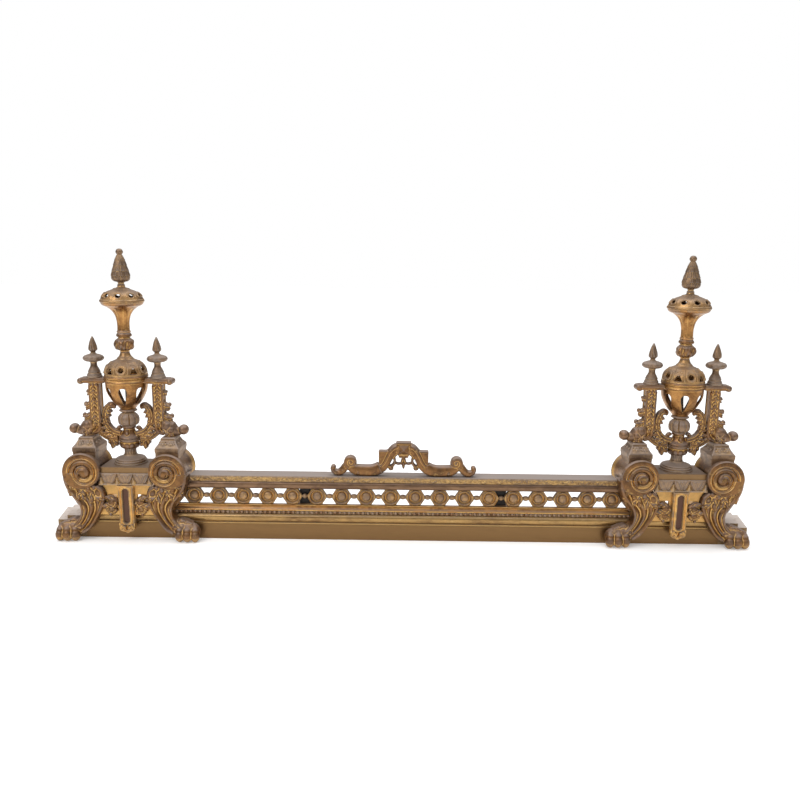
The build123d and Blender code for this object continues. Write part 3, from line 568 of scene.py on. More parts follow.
# The returns' pale tops are dust and a painted sky reflection.
return_pale = bronze("dusty_return_and_sky_sheen", (0.38, 0.24, 0.10), (0.24, 0.15, 0.065),
                     (0.14, 0.085, 0.040), (0.56, 0.49, 0.44), gilt=0.2, dusty_and_sheened=1.0, patch=0.1,
                     rough=0.5, metal=0.4, bump=0.2)
iron = bronze("iron_dark", (0.045, 0.035, 0.028), (0.028, 0.022, 0.018), (0.014, 0.012, 0.010),
              (0.05, 0.042, 0.036), gilt=0.1, dusty_and_sheened=0.4, patch=0.2, rough=0.6, metal=0.3)
rod_iron = bronze("rod_iron", (0.22, 0.19, 0.16), (0.14, 0.12, 0.10), (0.07, 0.06, 0.05),
                  (0.16, 0.14, 0.12), gilt=0.2, dusty_and_sheened=0.3, patch=0.2, rough=0.5, metal=0.7)

# ---- CAD nodes that keep their shape ----------------------------------------------------
kept = {"base_plinth": plinth_brass, "base_torus_moulding": bright,
    "base_top_moulding": turned_gilt, "rail_cap": rail_dust_and_sheen, "rail_roll_moulding": roll_brown,
    "rear_posts": iron, "tie_rods": rod_iron, "left_body": panel_gilt, "right_body": panel_gilt,
    "left_return": return_pale, "right_return": return_pale}
for node_name, material in kept.items():
    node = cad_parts[node_name]
    if node.material_slots:
        for slot in node.material_slots:
            slot.link = "OBJECT"
            slot.material = material
    else:
        node.data.materials.append(material)

# ---- base bead row ------------------------------------------------------------------------
BEAD_PITCH = 7.3
BASE_END = 495.0
section = [(33.2, 39.5), (33.0, 40.2), (33.0, 44.6), (33.6, 45.5), (60, 45.5), (60, 39.5)]
beads = [extrusion(section, -BASE_END, BASE_END)]
count = int(980 / BEAD_PITCH)
for i in range(count):
    beads.append(ball((i - (count - 1) / 2) * BEAD_PITCH, 32.0, 42.5, 3.0, 3.2, 2.8, 14, 10))
piece("base_bead_row", mesh_of("base_bead_row", join(*beads)), cast, "gilt_bronze",
      ["base_bead_moulding"])

# ---- gallery of hexagonal bosses -------------------------------------------------------
PITCH = 38.5
HEX_Z = 67.5
LINK_D = 39.0
HEX_REACH = 14.8


def hex_edge(t):
    """Edge of a hexagonal boss whose two end points are blunted."""
    reach = 100.0
    for angle, gap in ((0.5, 13.0), (0.183, 13.6), (0.817, 13.6), (0.0, 15.0)):
        across = abs(math.cos(t - math.pi * angle))
        reach = min(reach, gap / max(across, 1e-6))
    return reach


def hex_boss(cx):
    """Round dished boss on its faceted plate."""
    profile = [(0, 33.3), (3.4, 33.6), (5.6, 34.7), (7.0, 36.6), (7.4, 38.4), (8.4, 38.8),
        (9.3, 37.2), (9.8, 35.4), (10.4, 34.2), (11.3, 33.7), (12.0, 34.4), (12.4, 35.8)]
    verts, rings = [], []
    segs = 72
    layers = [(r, d, 0.0) for r, d in curve(profile, 2)]
    layers += [(0.965, 36.2, 1.0), (0.972, 35.4, 1.0), (0.985, 34.8, 1.0), (0.995, 35.4, 1.0),
        (1.0, 36.6, 1.0), (1.0, 42.2, 1.0), (0.96, 43.0, 1.0)]
    for r, d, kind in layers:
        if r == 0:
            rings.append([len(verts)])
            verts.append((cx, d, HEX_Z))
            continue
        rings.append(list(range(len(verts), len(verts) + segs)))
        for k in range(segs):
            t = TAU * k / segs
            radius = r * hex_edge(t) if kind else r
            verts.append((cx + radius * math.cos(t), d, HEX_Z + radius * math.sin(t)))
    rings.append([len(verts)])
    verts.append((cx, 43.0, HEX_Z))
    return verts, rings_to_faces(rings, False)


def barrel(x0, x1):
    """Turned link between two bosses."""
    mid, run = (x0 + x1) / 2, (x1 - x0) / 2
    profile = [(0, -run - 1), (2.6, -run - 1), (2.8, -run), (2.8, -run * 0.8), (3.4, -run * 0.7),
               (3.8, -run * 0.4), (3.9, 0), (3.8, run * 0.4), (3.4, run * 0.7), (2.8, run * 0.8),
               (2.8, run), (2.6, run + 1), (0, run + 1)]
    verts, faces = lathe(profile, 24, x=0, d=0)
    return [(mid + c, LINK_D + b, HEX_Z + a) for a, b, c in verts], faces


spans = {"gallery_centre": (-4, 4), "gallery_left": (-9, -4), "gallery_right": (4, 9)}
for node_name, (first, last) in spans.items():
    parts = []
    for i in range(first, last):
        cx = (i + 0.5) * PITCH
        parts.append(hex_boss(cx))
        if i < last - 1:
            parts.append(barrel(cx + HEX_REACH, cx + PITCH - HEX_REACH))
    if node_name == "gallery_centre":
        for side in (-1, 1):
            parts.append(ball(side * 4 * PITCH, LINK_D, HEX_Z, 3.9, segs=24, rows=14))
            parts.append(tube([(side * (4 * PITCH - 4.5), LINK_D, HEX_Z),
                (side * 4 * PITCH, LINK_D, HEX_Z)], [2, 2]))
    else:
        side = 1 if first > 0 else -1
        parts.append(tube([(side * 4 * PITCH, LINK_D, HEX_Z),
            (side * (4 * PITCH + 4.5), LINK_D, HEX_Z)], [2, 2]))
        end = side * (8.5 * PITCH + HEX_REACH)
        parts.append(tube([(end, LINK_D, HEX_Z), (end + side * 12, LINK_D, HEX_Z)], [2.6, 2.6]))
        parts.append(tube([(end + side * 3, LINK_D, HEX_Z), (end + side * 7, LINK_D, HEX_Z)],
            [4.0, 4.0]))
    piece(node_name + "_bosses", mesh_of(node_name + "_bosses", join(*parts), 30), boss_gilt,
          "gilt_bronze", [node_name])

# ---- stamped leaf frieze under the rail's cap -------------------------------------------
FRIEZE_END, FRIEZE_LOW, FRIEZE_HIGH = 385.0, 92.0, 101.6


def frieze_face(x, z):
    """Leafy scroll stamped on an ovolo."""
    v = (z - FRIEZE_LOW) / 9.6
    wave = math.sin(x * TAU / 26.0 + 0.6 * noise.noise(Vector((x * 0.02, 0, 5.0))))
    stem = math.exp(-(((v - 0.5) * 2 - 0.5 * wave) / 0.30) ** 2)
    leafy = max(0.0, math.sin(x * TAU / 7.9 + 5.2 * (v - 0.5) * (1 if wave > 0 else -1)))
    grit = noise.noise(Vector((x * 0.42, z * 0.5, 3.0)))
    grit += 0.5 * noise.noise(Vector((x * 1.1, z * 1.1, 9.0)))
    height = 0.8 * stem + 0.8 * leafy * (1 - abs(v - 0.45)) + 0.9 * grit
    fade = max(0.0, min(1.0, min(v / 0.07, (1 - v) / 0.05)))
    ovolo = 31.2 - 2.5 * math.sin(math.pi / 2 * min(1.0, v)) ** 1.2
    return ovolo - fade * (0.2 + max(0.0, height) * 0.9)


frieze = relief(-FRIEZE_END, FRIEZE_END, FRIEZE_LOW, FRIEZE_HIGH, 0.6, frieze_face, 36.0)
piece("rail_frieze_relief", mesh_of("rail_frieze_relief", frieze, 0), bright, "bright_gilt",
      ["rail_frieze"])

# ---- crest -----------------------------------------------------------------------------
RAIL = 102.5


def crest_path(points):
    """Points given above the rail's top."""
    return [(x, RAIL + z) for x, z in points]


def shift_path(path, dx, dz):
    return [(x + dx, z + dz) for x, z in path]


def round_section(height):
    return lambda u, s: height * math.sqrt(max(0.0, 1 - u * u))


def make_crest_scroll():
    """Scroll arm on the +X side."""
    arm = curve(crest_path([(36, 13), (44, 9.6), (54, 8.4), (64, 8.6), (73, 9.4), (80, 12),
        (84, 16)]), 8)
    widths = [9.4, 9.0, 8.6, 8.6, 8.4, 6.6, 4.0]
    parts = [band(arm, widths, 34.6, 42.8, lambda u, s: 4.4 * math.sqrt(max(0.0, 1 - u * u)) ** 0.8,
        18)]
    parts.append(band(shift_path(arm, 0, 4.4), [2.2, 2.4, 2.2, 2.0, 1.8, 1.2], 32.4, 42,
        round_section(1.8), 8))
    spiral = []
    for i in range(50):
        t = math.radians(-70 + 10.5 * i)
        r = 8.6 - 6.0 * i / 49
        spiral.append((81.5 + r * math.cos(t), RAIL + 22.4 + r * math.sin(t)))
    parts += [
        band(spiral, [3.4, 3.0, 2.4, 1.9, 1.4], 31.4, 42.8, round_section(2.4), 10),
        ball(81.5, 37.0, RAIL + 22.2, 9.2, 6.2, 9.2, 28, 18),
        ball(81.0, 31.8, RAIL + 22.0, 3.4, 3.0, 3.4),
    ]
    tail = curve(crest_path([(84, 17), (90, 14), (95, 8.0), (101, 5.0), (107, 6.5), (110.2, 11.5),
        (108.6, 15.5)]), 7)
    parts += [
        band(tail, [5.4, 6.0, 5.6, 4.8, 4.0, 3.2, 2.4], 34.6, 42.6, round_section(3.4), 12),
        ball(108.4, 36.6, RAIL + 14.2, 3.9, 4.8, 3.9),
        leaf((86, RAIL + 22), (101, RAIL + 6), 4.2, 33.4, 42.4, 3, -0.12, 1.0),
        ball(70, 31.6, RAIL + 6.5, 3.4, 2.6, 3.2),
    ]
    skin = fused(join(*parts), 0.6, 2)
    return [(x, d, max(z, RAIL)) for x, d, z in skin[0]], skin[1]


crest_scroll = make_crest_scroll()
piece("crest_right_scroll_cast", mesh_of("crest_right_scroll_cast", crest_scroll, 0), cast,
      "gilt_bronze", ["crest_right_scroll"])
piece("crest_left_scroll_cast", mesh_of("crest_left_scroll_cast", mirrored(crest_scroll), 0), cast,
      "gilt_bronze", ["crest_left_scroll"])


def make_crest_arch():
    """Middle block with an arm on each side and a pierced hanging in the arch."""
    arch = curve(crest_path([(7, 45.5), (13, 43.5), (19, 37.5), (23, 30), (27, 21.5), (32, 15),
        (38, 11.5)]), 7)
    half = [
        band(arch, [7.2, 7.4, 7.0, 6.6, 6.4, 7.4, 8.4], 34.2, 42.8,
            lambda u, s: 3.4 * math.sqrt(max(0.0, 1 - u * u)) ** 0.7, 16),
        band(shift_path(arch[:-6], 2.2, 2.6), [2.6, 2.4, 2.2, 1.8], 31.8, 42, round_section(2.2),
            8),
        frustum(31.6, 37.2, RAIL + 21, RAIL + 39.2, 6.9, 5.8, 6.9, 5.8),
        slab(crest_path([(14, 50.5), (25, 41.5), (38, 39), (38.4, 20), (35, 12), (30.2, 10.6),
            (26.4, 14.4), (24.4, 21), (24.2, 27), (18.5, 33.5), (13.6, 37.6)]), 33.6, 42.6),
        frustum(31.6, 37.2, RAIL + 39.0, RAIL + 41.0, 7.3, 6.2, 6.4, 5.4),
    ]
    loop = curve(crest_path([(10, 36), (14.5, 31), (13.5, 24), (16, 17.5), (20, 15)]), 7)
    half += [
        band(loop, [2.4, 2.2, 2.0, 2.2, 2.4], 35.2, 42.4, round_section(2.0), 8),
        ball(19.4, 36.4, RAIL + 12.8, 4.2, 4.4, 3.9),
        band(curve(crest_path([(24, 24), (23.5, 17), (20, 12.5)]), 5), [2.4, 2.2, 2.2], 35.2, 42.4,
            round_section(1.8), 8),
        band(curve(crest_path([(2, 20.5), (7, 19.6), (13, 20.6)]), 5), [1.5, 1.7, 1.7], 36.0, 42.2,
            round_section(1.6), 8),
        ball(8.2, 35.6, RAIL + 19.8, 2.2),
    ]
    middle = [
        frustum(0, 36.8, RAIL + 35, RAIL + 53.0, 9.8, 6.0, 11.2, 6.6),
        frustum(0, 36.8, RAIL + 52.6, RAIL + 54.8, 11.9, 7.2, 11.2, 6.4),
        ([(0, 25.6, RAIL + 43.6), (-9.2, 31.2, RAIL + 35.6), (9.2, 31.2, RAIL + 35.6),
            (10.9, 31.2, RAIL + 52.4), (-10.9, 31.2, RAIL + 52.4), (0, 36, RAIL + 44)], [(0, 1, 2),
            (0, 2, 3), (0, 3, 4), (0, 4, 1), (5, 1, 2), (5, 2, 3), (5, 3, 4), (5, 4, 1)]),
        frustum(0, 37.6, RAIL + 30, RAIL + 36, 6.8, 5.2, 9.2, 5.6),
        leaf((0, RAIL + 33), (0, RAIL + 12.0), 4.4, 34.4, 42.0, 2, 0.0, 0.6),
    ]
    return fused(join(*(half + middle + [mirrored(p) for p in half])), 0.55, 1)


piece("crest_arch_cast", mesh_of("crest_arch_cast", make_crest_arch(), 0), cast, "gilt_bronze",
      ["crest_arch"])

# ---- volute legs -----------------------------------------------------------------------
EYE_X, EYE_Z = 61.6, 109.0
VOLUTE_R, NECK_R = 33.0, 23.2
SPIRAL = [(0, 33.0), (30, 32.6), (60, 32.0), (90, 31.0), (120, 29.2), (150, 26.8), (180, 25.0),
    (210, 23.8), (240, 23.2), (270, 22.8), (315, 22.6), (360, 22.0), (405, 21.2), (450, 20.0),
    (495, 18.4), (540, 17.0), (585, 16.2), (630, 15.6), (675, 15.0), (720, 14.2), (765, 13.4),
    (810, 12.2), (855, 10.8), (900, 9.4), (945, 8.2), (990, 7.4), (1080, 6.2), (1170, 5.2),
    (1260, 4.4), (1350, 3.8), (1440, 3.2)]


def spiral_r(degrees):
    """Radius of the scroll's line, which winds inwards over four turns."""
    for (a, ra), (b, rb) in zip(SPIRAL, SPIRAL[1:]):
        if degrees <= b:
            return ra + (rb - ra) * (degrees - a) / (b - a)
    return SPIRAL[-1][1]


def volute_edge(t):
    """Outer edge of the drum, closed where the scroll's line leaves it."""
    degrees = math.degrees(t) % 360
    if degrees <= 240:
        return spiral_r(degrees)
    if degrees >= 330:
        return VOLUTE_R
    return NECK_R + (VOLUTE_R - NECK_R) * ((degrees - 240) / 90) ** 1.6


def volute_depth(r, t):
    """Depth of the carved face, measured back from the volute's front."""
    degrees = math.degrees(t) % 360
    lines = [spiral_r(degrees + 360 * k) for k in range(4)]
    lines[0] = max(lines[0], volute_edge(t))
    if r >= lines[1]:
        u = min(1.0, (r - lines[1]) / max(lines[0] - lines[1], 0.5))
        depth = 2.6 - 1.5 * math.sin(math.pi * u) ** 0.6 + 2.0 * max(0.0, (u - 0.84) / 0.16) ** 2
        fade = min(1.0, max(0.0, (lines[0] - lines[1] - 3.0) / 4.0))
        depth += 0.9 * fade * math.exp(-((r - lines[1] - 3.0) / 0.55) ** 2)
    elif r >= lines[2]:
        u = (r - lines[2]) / max(lines[1] - lines[2], 0.5)
        depth = 3.4 - 3.2 * math.sin(math.pi * min(1.0, u)) ** 0.65
    else:
        u = min(1.0, r / lines[2])
        depth = 2.9 - 5.4 * math.sqrt(1 - u * u) ** 1.1
        groove = math.exp(-((r - 0.70 * lines[2]) / 1.5) ** 2)
        depth += 3.4 * groove * max(0.0, math.cos(t - 0.3)) ** 0.6
    depth += 1.2 * math.exp(-((r - lines[1]) / 0.7) ** 2)
    depth += 0.9 * math.exp(-((r - lines[2]) / 0.6) ** 2)
    return max(depth, -2.9)


# Paint on the volute's face. The gold along the spiral's lines and on the lower sector of the
# second turn is painted highlight; the dust on the upper half of the inner turn also paints its
# highlight.
def volute_paint(x, d, z):
    r, t = math.hypot(x - EYE_X, z - EYE_Z), math.atan2(z - EYE_Z, x - EYE_X)
    if r > 35 or (12 < d < 58):
        return 0.0
    degrees = math.degrees(t) % 360
    lines = [spiral_r(degrees + 360 * k) for k in range(4)]
    if abs(r - lines[1]) < 1.2 or abs(r - lines[1] - 3.0) < 0.8 and lines[0] - lines[1] > 5:
        return 0.9
    if lines[2] < r < lines[1]:
        return 0.6 if 190 < degrees < 300 else 0.1
    if lines[3] < r <= lines[2]:
        return -0.35 if degrees < 200 else 0.0
    return 0.0


def make_volute():
    """Drum with a carved spiral on each end and a waist between them."""
    segs, rows, cuts = 240, 84, 28
    front, rear = 5.2, 65.6
    verts, rings = [], []

    def ring(points):
        rings.append(list(range(len(verts), len(verts) + len(points))))
        verts.extend(points)

    def at(r, t, d):
        return EYE_X + r * math.cos(t), d, EYE_Z + r * math.sin(t)

    turns = [TAU * k / segs for k in range(segs)]
    ring([at(0, 0, 5.0 + volute_depth(0, 0))])
    for i in range(1, rows + 1):
        radii = [(volute_edge(t) * i / rows, t) for t in turns]
        ring([at(r, t, front + volute_depth(r, t)) for r, t in radii])
    for i in range(cuts + 1):
        s = i / cuts
        waist = 1 - 0.13 * math.sin(math.pi * s) ** 0.8
        lip = 0.018 * (math.exp(-(s / 0.06) ** 2) + math.exp(-((1 - s) / 0.06) ** 2))
        ring([at(volute_edge(t) * (waist + lip - 0.018), t, 10.5 + 51.5 * s) for t in turns])
    for i in range(rows, 0, -1):
        radii = [(volute_edge(t) * i / rows, t) for t in turns]
        ring([at(r, t, rear - volute_depth(r, t)) for r, t in radii])
    ring([at(0, 0, rear - volute_depth(0, 0))])
    return verts, rings_to_faces(rings, False)


def make_limb():
    """Knee, fluted shin and paw, fused into one casting."""
    spine = curve([(81, 101), (77, 92), (71, 82), (62, 72), (55.5, 62), (54, 51), (57.5, 40),
        (63, 30), (70, 21.5), (78, 15.5)], 7)
    widths = [8, 13, 18, 21, 18.5, 15, 12, 10.5, 9.2, 7.5]

    def flutes(u, s):
        ridge = 0.5 + 0.5 * math.cos(3.0 * math.pi * u)
        belly = 2.2 * (1 - u * u) * math.sin(math.pi * min(1.0, 0.1 + s))
        return (0.4 + 4.4 * ridge ** 0.75) * (1 - abs(u) ** 8) + belly

    upper = len(spine) // 2
    parts = [band(spine, widths, 15.4, 26.8, flutes, 36)]
    parts.append(band(spine[:upper], widths[:6], 20, 60, None, 4))
    rim = curve([(91.5, 106), (90.5, 96), (87, 85), (80, 74), (71.5, 63), (68, 51), (70, 39),
        (76, 29.5), (83, 23)], 6)
    parts.append(band(rim, [3.4, 3.6, 3.6, 3.4, 3.2, 2.8, 2.6, 2.6, 2.4], 12.6, 26.8,
        round_section(4.6), 10))
    inner = curve([(44, 88), (36.5, 80), (34.5, 70), (37, 60), (41.5, 49), (47.5, 38), (54, 27.5),
        (61, 19), (70, 13)], 6)
    parts.append(band(inner, [2.2, 3.2, 3.4, 3.2, 3.0, 2.8, 2.6, 2.6, 2.2], 12.8, 26.8,
        round_section(4.6), 10))
    # acanthus that wraps the knee
    parts += [
        leaf((55, 88), (31.5, 67), 8.6, 12.6, 26, 3, 0.20, 4.4, 3.6),
        ball(41, 13.5, 78, 6.8, 5.6, 8.0, 26, 18),
        ball(35.5, 12.6, 71.5, 4.2, 3.8, 4.8, 20, 14),
        leaf((58, 91), (52.5, 62), 6.4, 10.8, 26, 3, -0.12, 2.4, 3.4),
        leaf((62, 88), (63, 66), 5.4, 10.4, 26, 3, 0.10, 2.0, 3.2),
        leaf((70, 88), (73, 66), 5.4, 11.2, 26, 3, -0.10, 2.6, 3.2),
        leaf((80, 92), (84.5, 71.5), 5.6, 12.4, 26, 3, 0.10, 3.4, 3.2),
        ball(56, 9.8, 83, 4.0, 3.4, 4.2, 20, 14),
        ball(48, 10.6, 86, 3.4, 3.0, 3.4, 18, 12),
        ball(81.5, 12.4, 75, 3.8, 3.6, 4.4, 18, 12),
    ]
    # ankle curl
    parts.append(tube(curve([(69, 15, 20), (75, 12, 24), (79.5, 11, 21), (77.5, 10.5, 17.0),
        (74.5, 10.5, 18.6)], 6), [2.6, 2.8, 2.6, 2.2, 1.8]))
    # paw
    paw_x = 93.0
    parts.append(ball(paw_x, 17.0, 15.5, 18.6, 10.4, 15.3, 36, 22))
    parts.append(ball(paw_x - 9, 17, 17, 13, 10.4, 13.8, 28, 18))
    for dx, d, z, r in ((-12.6, 10.4, 10.2, 8.4), (-0.6, 8.8, 10.6, 8.7), (11.2, 10.2, 10.0, 8.2)):
        parts += [
            ball(paw_x + dx, d, z, r * 0.86, r * 1.0, 10.2, 28, 18),
            ball(paw_x + dx * 0.96, d + 1.2, z + 7.4, r * 0.76, r * 0.84, r * 0.74, 24, 16),
            tube([(paw_x + dx, d + 2, z + 9), (paw_x + dx * 0.6 - 3, d + 9, z + 18)],
                [r * 0.66, r * 0.5], 18),
        ]
    parts.append(leaf((paw_x - 21, 24), (paw_x - 3, 33), 4.4, 13.5, 26, 3, 0.15, 2.0))
    parts.append(leaf((paw_x - 21, 19), (paw_x + 7, 28.5), 4.4, 14.5, 26, 3, 0.2, 2.0))
    skin = fused(join(*parts), 0.7, 2)
    verts = []
    for x, d, z in skin[0]:
        if z < 54.5:
            d = min(d, 26.9)
        verts.append((min(x, 112.0), max(d, 0.05), max(z, 0.0)))
    return verts, skin[1]


def leg_paint(x, d, z):
    if math.hypot(x - EYE_X, z - EYE_Z) < 33.4 and z > 84:
        return volute_paint(x, d, z)
    # Gold on the toes' lower fronts is painted highlight; the dust on the paw's upper part also
    # paints its pale reflection.
    if x > 72 and z < 34:
        return 0.5 if z < 8 and d < 12 else (-0.35 if z > 19 else 0.0)
    return 0.0


leg = join(make_volute(), make_limb())
leg_mesh = both_sides("volute_leg_cast", leg, 50, leg_paint)

# ---- cap block, column and small finial over each volute ----------------------------------


CAP_X, FLORET_X, COLUMN_X = 63.0, 6.2, 48.5


def make_cap():
    """Stepped block with two florets on its front."""
    steps = [(127, 17.8, 21.8), (138, 17.8, 21.8), (140, 18.5, 22.5), (145.6, 18.5, 22.5),
        (147, 17.6, 21.6), (149.5, 15.6, 19.4), (152.5, 13.7, 17.0), (155.5, 12.2, 15.0),
        (157.4, 11.4, 13.8), (158.4, 11.6, 13.8), (159.8, 11.2, 13.4), (161, 9.6, 11.6)]
    parts = [frustum(CAP_X, 42, z0, z1, w0, e0, w1, e1) for (z0, w0, e0),
        (z1, w1, e1) in zip(steps, steps[1:])]
    body = fused(join(*parts), 0.7, 1)
    florets = []
    for dx in (-FLORET_X, FLORET_X):
        florets.append(ball(CAP_X + dx, 23.0, 151.8, 2.4, 2.2, 2.4, 16, 10))
        for k in range(6):
            a = TAU * k / 6
            florets.append(ball(CAP_X + dx + 3.4 * math.cos(a), 23.9 + 0.6 * math.sin(a), 151.8
                + 3.4 * math.sin(a), 2.1, 1.9, 2.1, 12, 8))
    florets.append(ball(CAP_X, 25.0, 151.4, 1.6, 1.8, 2.6, 12, 8))
    florets.append(tube([(CAP_X - 13.2, 23.2, 147.6), (CAP_X + 13.2, 23.2, 147.6)], [0.9, 0.9], 10))
    for side in (-1, 1):
        for dd in (-8, 2, 12):
            florets.append(ball(CAP_X + side * 14.0, 42 + dd, 151.4, 1.9, 2.6, 2.4, 12, 8))
    return join(body, *florets)


def cap_paint(x, d, z):
    return 0.7 if d < 25.4 and z > 147.2 and abs(abs(x - CAP_X) - FLORET_X) < 6 else 0.0


BOWL_CLEAR = 32.6


def make_column():
    """Husked column on a scroll foot, with leaves up its outer edge."""
    parts = [frustum(COLUMN_X, 42, 176, 243, 7.0, 7.0, 7.4, 7.0)]
    for x in (COLUMN_X - 6.8, COLUMN_X + 6.8):
        for d in (35.4, 48.6):
            parts.append(tube([(x, d, 182), (x, d, 241)], [1.7, 1.7], 12))
    # husks down the front and the back
    for sign, face in ((1, 35.0), (-1, 49.0)):
        for z, w, drop in ((239, 5.0, 12), (228, 4.6, 13), (214, 5.6, 14), (200, 5.4, 14),
                (188, 5.0, 12)):
            tip = leaf((COLUMN_X, z), (COLUMN_X, z - drop), w, 0, 4, 2, 0.0, 1.2, 2.8)
            parts.append(([(x, face + sign * d, q) for x, d, q in tip[0]], tip[1]))
        for z, r in ((232, 2.4), (218.5, 3.0), (204.5, 3.2), (191.5, 3.0)):
            parts.append(ball(COLUMN_X, face - sign * 0.8, z, r, 2.4, r * 0.9, 16, 10))
            for sx in (-3.6, 3.6):
                parts.append(ball(COLUMN_X + sx, face, z - 3.0, 1.9, 2.0, 2.2, 14, 8))
    # leaves up the outer edge
    for z, reach, r in ((229, 3.6, 3.4), (208, 7.6, 5.0), (190, 10.6, 5.6)):
        parts += [
            ball(56.5 + reach * 0.35, 42, z, r, 4.6, r * 1.25, 20, 14),
            ball(56.6 + reach, 42, z + r * 0.5, r * 0.62, 3.8, r * 0.7, 18, 12),
            ball(56.2 + reach * 0.9, 42, z - r * 0.75, r * 0.5, 3.4, r * 0.55, 18, 12),
            leaf((54, z + r * 1.9), (57.5 + reach * 1.1, z + r * 0.2), r * 0.7, 37.4, 46.6, 2,
                -0.25, 0.8),
            leaf((54, z), (57 + reach * 0.8, z - r * 1.5), r * 0.6, 37.6, 46.4, 1, 0.1, 0.8),
        ]
    # dolphin-like scroll foot
    body = curve([(49, 42, 197), (52, 42, 187), (57, 42, 179), (64.5, 42, 173), (72.5, 42, 169),
        (80, 42, 168.6)], 7)
    parts += [
        tube(body, [6.4, 8.4, 11.0, 11.6, 8.0, 5.4], 30, 0.95),
        ball(84.2, 42, 171.4, 8.0, 9.6, 8.0, 30, 20),
        ball(61, 35.2, 178, 6.4, 6.0, 7.0, 24, 16),
        ball(66.5, 34.4, 172, 5.0, 4.6, 5.4, 22, 14),
        tube(curve([(63, 42, 159), (63, 42, 163.5), (62, 42, 170)], 5), [9.4, 7.8, 10.2], 26, 1.0),
        tube(curve([(45, 42, 184), (43.6, 42, 175), (47, 42, 168), (54, 42, 165)], 6),
            [3.6, 4.6, 4.4, 3.6], 16, 1.5),
        tube(curve([(42, 42, 172), (40.6, 42, 166.5), (44, 42, 164)], 5), [2.6, 3.0, 2.4], 14, 1.5),
    ]
    for sx, sz in ((56, 170), (61, 166.4), (67, 164.4)):
        parts.append(ball(sx, 33.6, sz, 2.6, 2.4, 3.4, 16, 10))
    # abacus with its scrolled end
    parts += [
        frustum(48.0, 42, 243.6, 247.4, 15.5, 8.6, 17.5, 9.6),
        frustum(48.0, 42, 247.4, 251.9, 18.0, 10.0, 17.6, 9.6),
        tube([(67.6, 33.4, 246.8), (67.6, 50.6, 246.8)], [4.9, 4.9], 26),
        tube([(67.6, 32.6, 246.8), (67.6, 51.4, 246.8)], [2.2, 2.2], 18),
    ]
    for dx in (-5, 0, 5):
        parts.append(ball(COLUMN_X + dx, 33.8, 241.6, 2.3, 2.0, 2.8, 14, 8))
    skin = fused(join(*parts), 0.62, 2)
    verts = []
    for x, d, z in skin[0]:
        reach = math.hypot(x, d - AXIS_D)
        if z > 215 and reach < BOWL_CLEAR and x < 40:
            push = BOWL_CLEAR / max(reach, 1e-6)
            x, d = x * push, AXIS_D + (d - AXIS_D) * push
        verts.append((x, d, z))
    return verts, skin[1]


def column_paint(x, d, z):
    # Pale dust on the scroll foot and on the abacus top, which also paints their pale reflection.
    if z < 186 and x > 54:
        return -0.35
    if z > 247:
        return -0.4
    return 0.0


def small_finial(x):
    """Turned vase with a bud."""
    moves = [(0, 252), (11.4, 252), (11.6, 253.6), (10.4, 254.6), [(10.6, 256), (9.4, 258.2)],
        (8.8, 259), [(9.0, 261), (7.2, 265), (5.2, 269), (4.8, 273), (5.6, 275.6)], (8.0, 276.2)]
    moves += [[(12.4, 277.4), (14.9, 281.0), (12.8, 285.0), (7.8, 287.0)], (5.2, 287.8)]
    moves += [[(3.6, 289.4), (3.9, 291.4), (5.8, 293.2), (6.4, 295.2), (5.9, 299.5), (4.1, 306),
        (2.1, 311.5)], (0.9, 314.0), (0, 314.5)]

    def bend(r, z, t):
        if 277 < z < 287:
            return r * (1 + 0.035 * math.cos(10 * t))
        if z > 293:
            return r * (1 + 0.045 * math.cos(9 * t + z * 0.3))
        return r

    return lathe(outline(moves, 5), 64, bend, x)


cap = make_cap()
column = make_column()
cap_mesh = both_sides("cap_block_cast", cap, 45, cap_paint)
column_mesh = both_sides("column_cast", column, 0, column_paint)

# ---- body ornament ------------------------------------------------------------------------


def egg_face(x, z):
    """Three hanging lobes with darts between them over a plain fillet."""
    if z > 107.2:
        return 10.6
    near = min((-24.6, 0, 24.6), key=lambda c: abs(x - c))
    u = abs(x - near)
    rise = 107.0 - z
    depth = 14.0
    e = 1 - (u / 12.2) ** 2 - (rise / 15.9) ** 2
    if e > 0:
        depth = 13.6 - 4.5 * e ** 0.42
        depth -= 0.35 * math.cos(u * 1.1 + rise * 0.5)
    base = max(0.0, 96.0 - z)
    gap = abs(u - 12.3)
    if z < 101.5:
        dart = 1 - gap / (0.8 + (101.5 - z) * 0.36)
        depth = min(depth, 13.8 - 3.4 * max(0.0, dart) ** 0.6) if dart > 0 else depth
    if base > 4.6:
        depth = min(depth, 11.2 + 0.4 * abs(z - 90.6))
    return depth


def egg_paint(x, d, z):
    u = abs(x - 24.6) if x > 12.3 else x
    if z < 91.4 or (z < 101.5 and abs(u - 12.3) < 0.8 + (101.5 - z) * 0.36):
        return 1.0
    return -0.3 if z < 106 else 0.0


def label_paint(x, d, z):
    slot = math.hypot(x, max(0.0, 34.0 - z, z - 80.0))
    # The slot's floor is painted dark brown as painted shade.
    if slot < 4.9 and z > 26.5 and d > 11:
        return -2.0
    return 0.8 if slot < 7.6 or x > 10.6 else 0.2


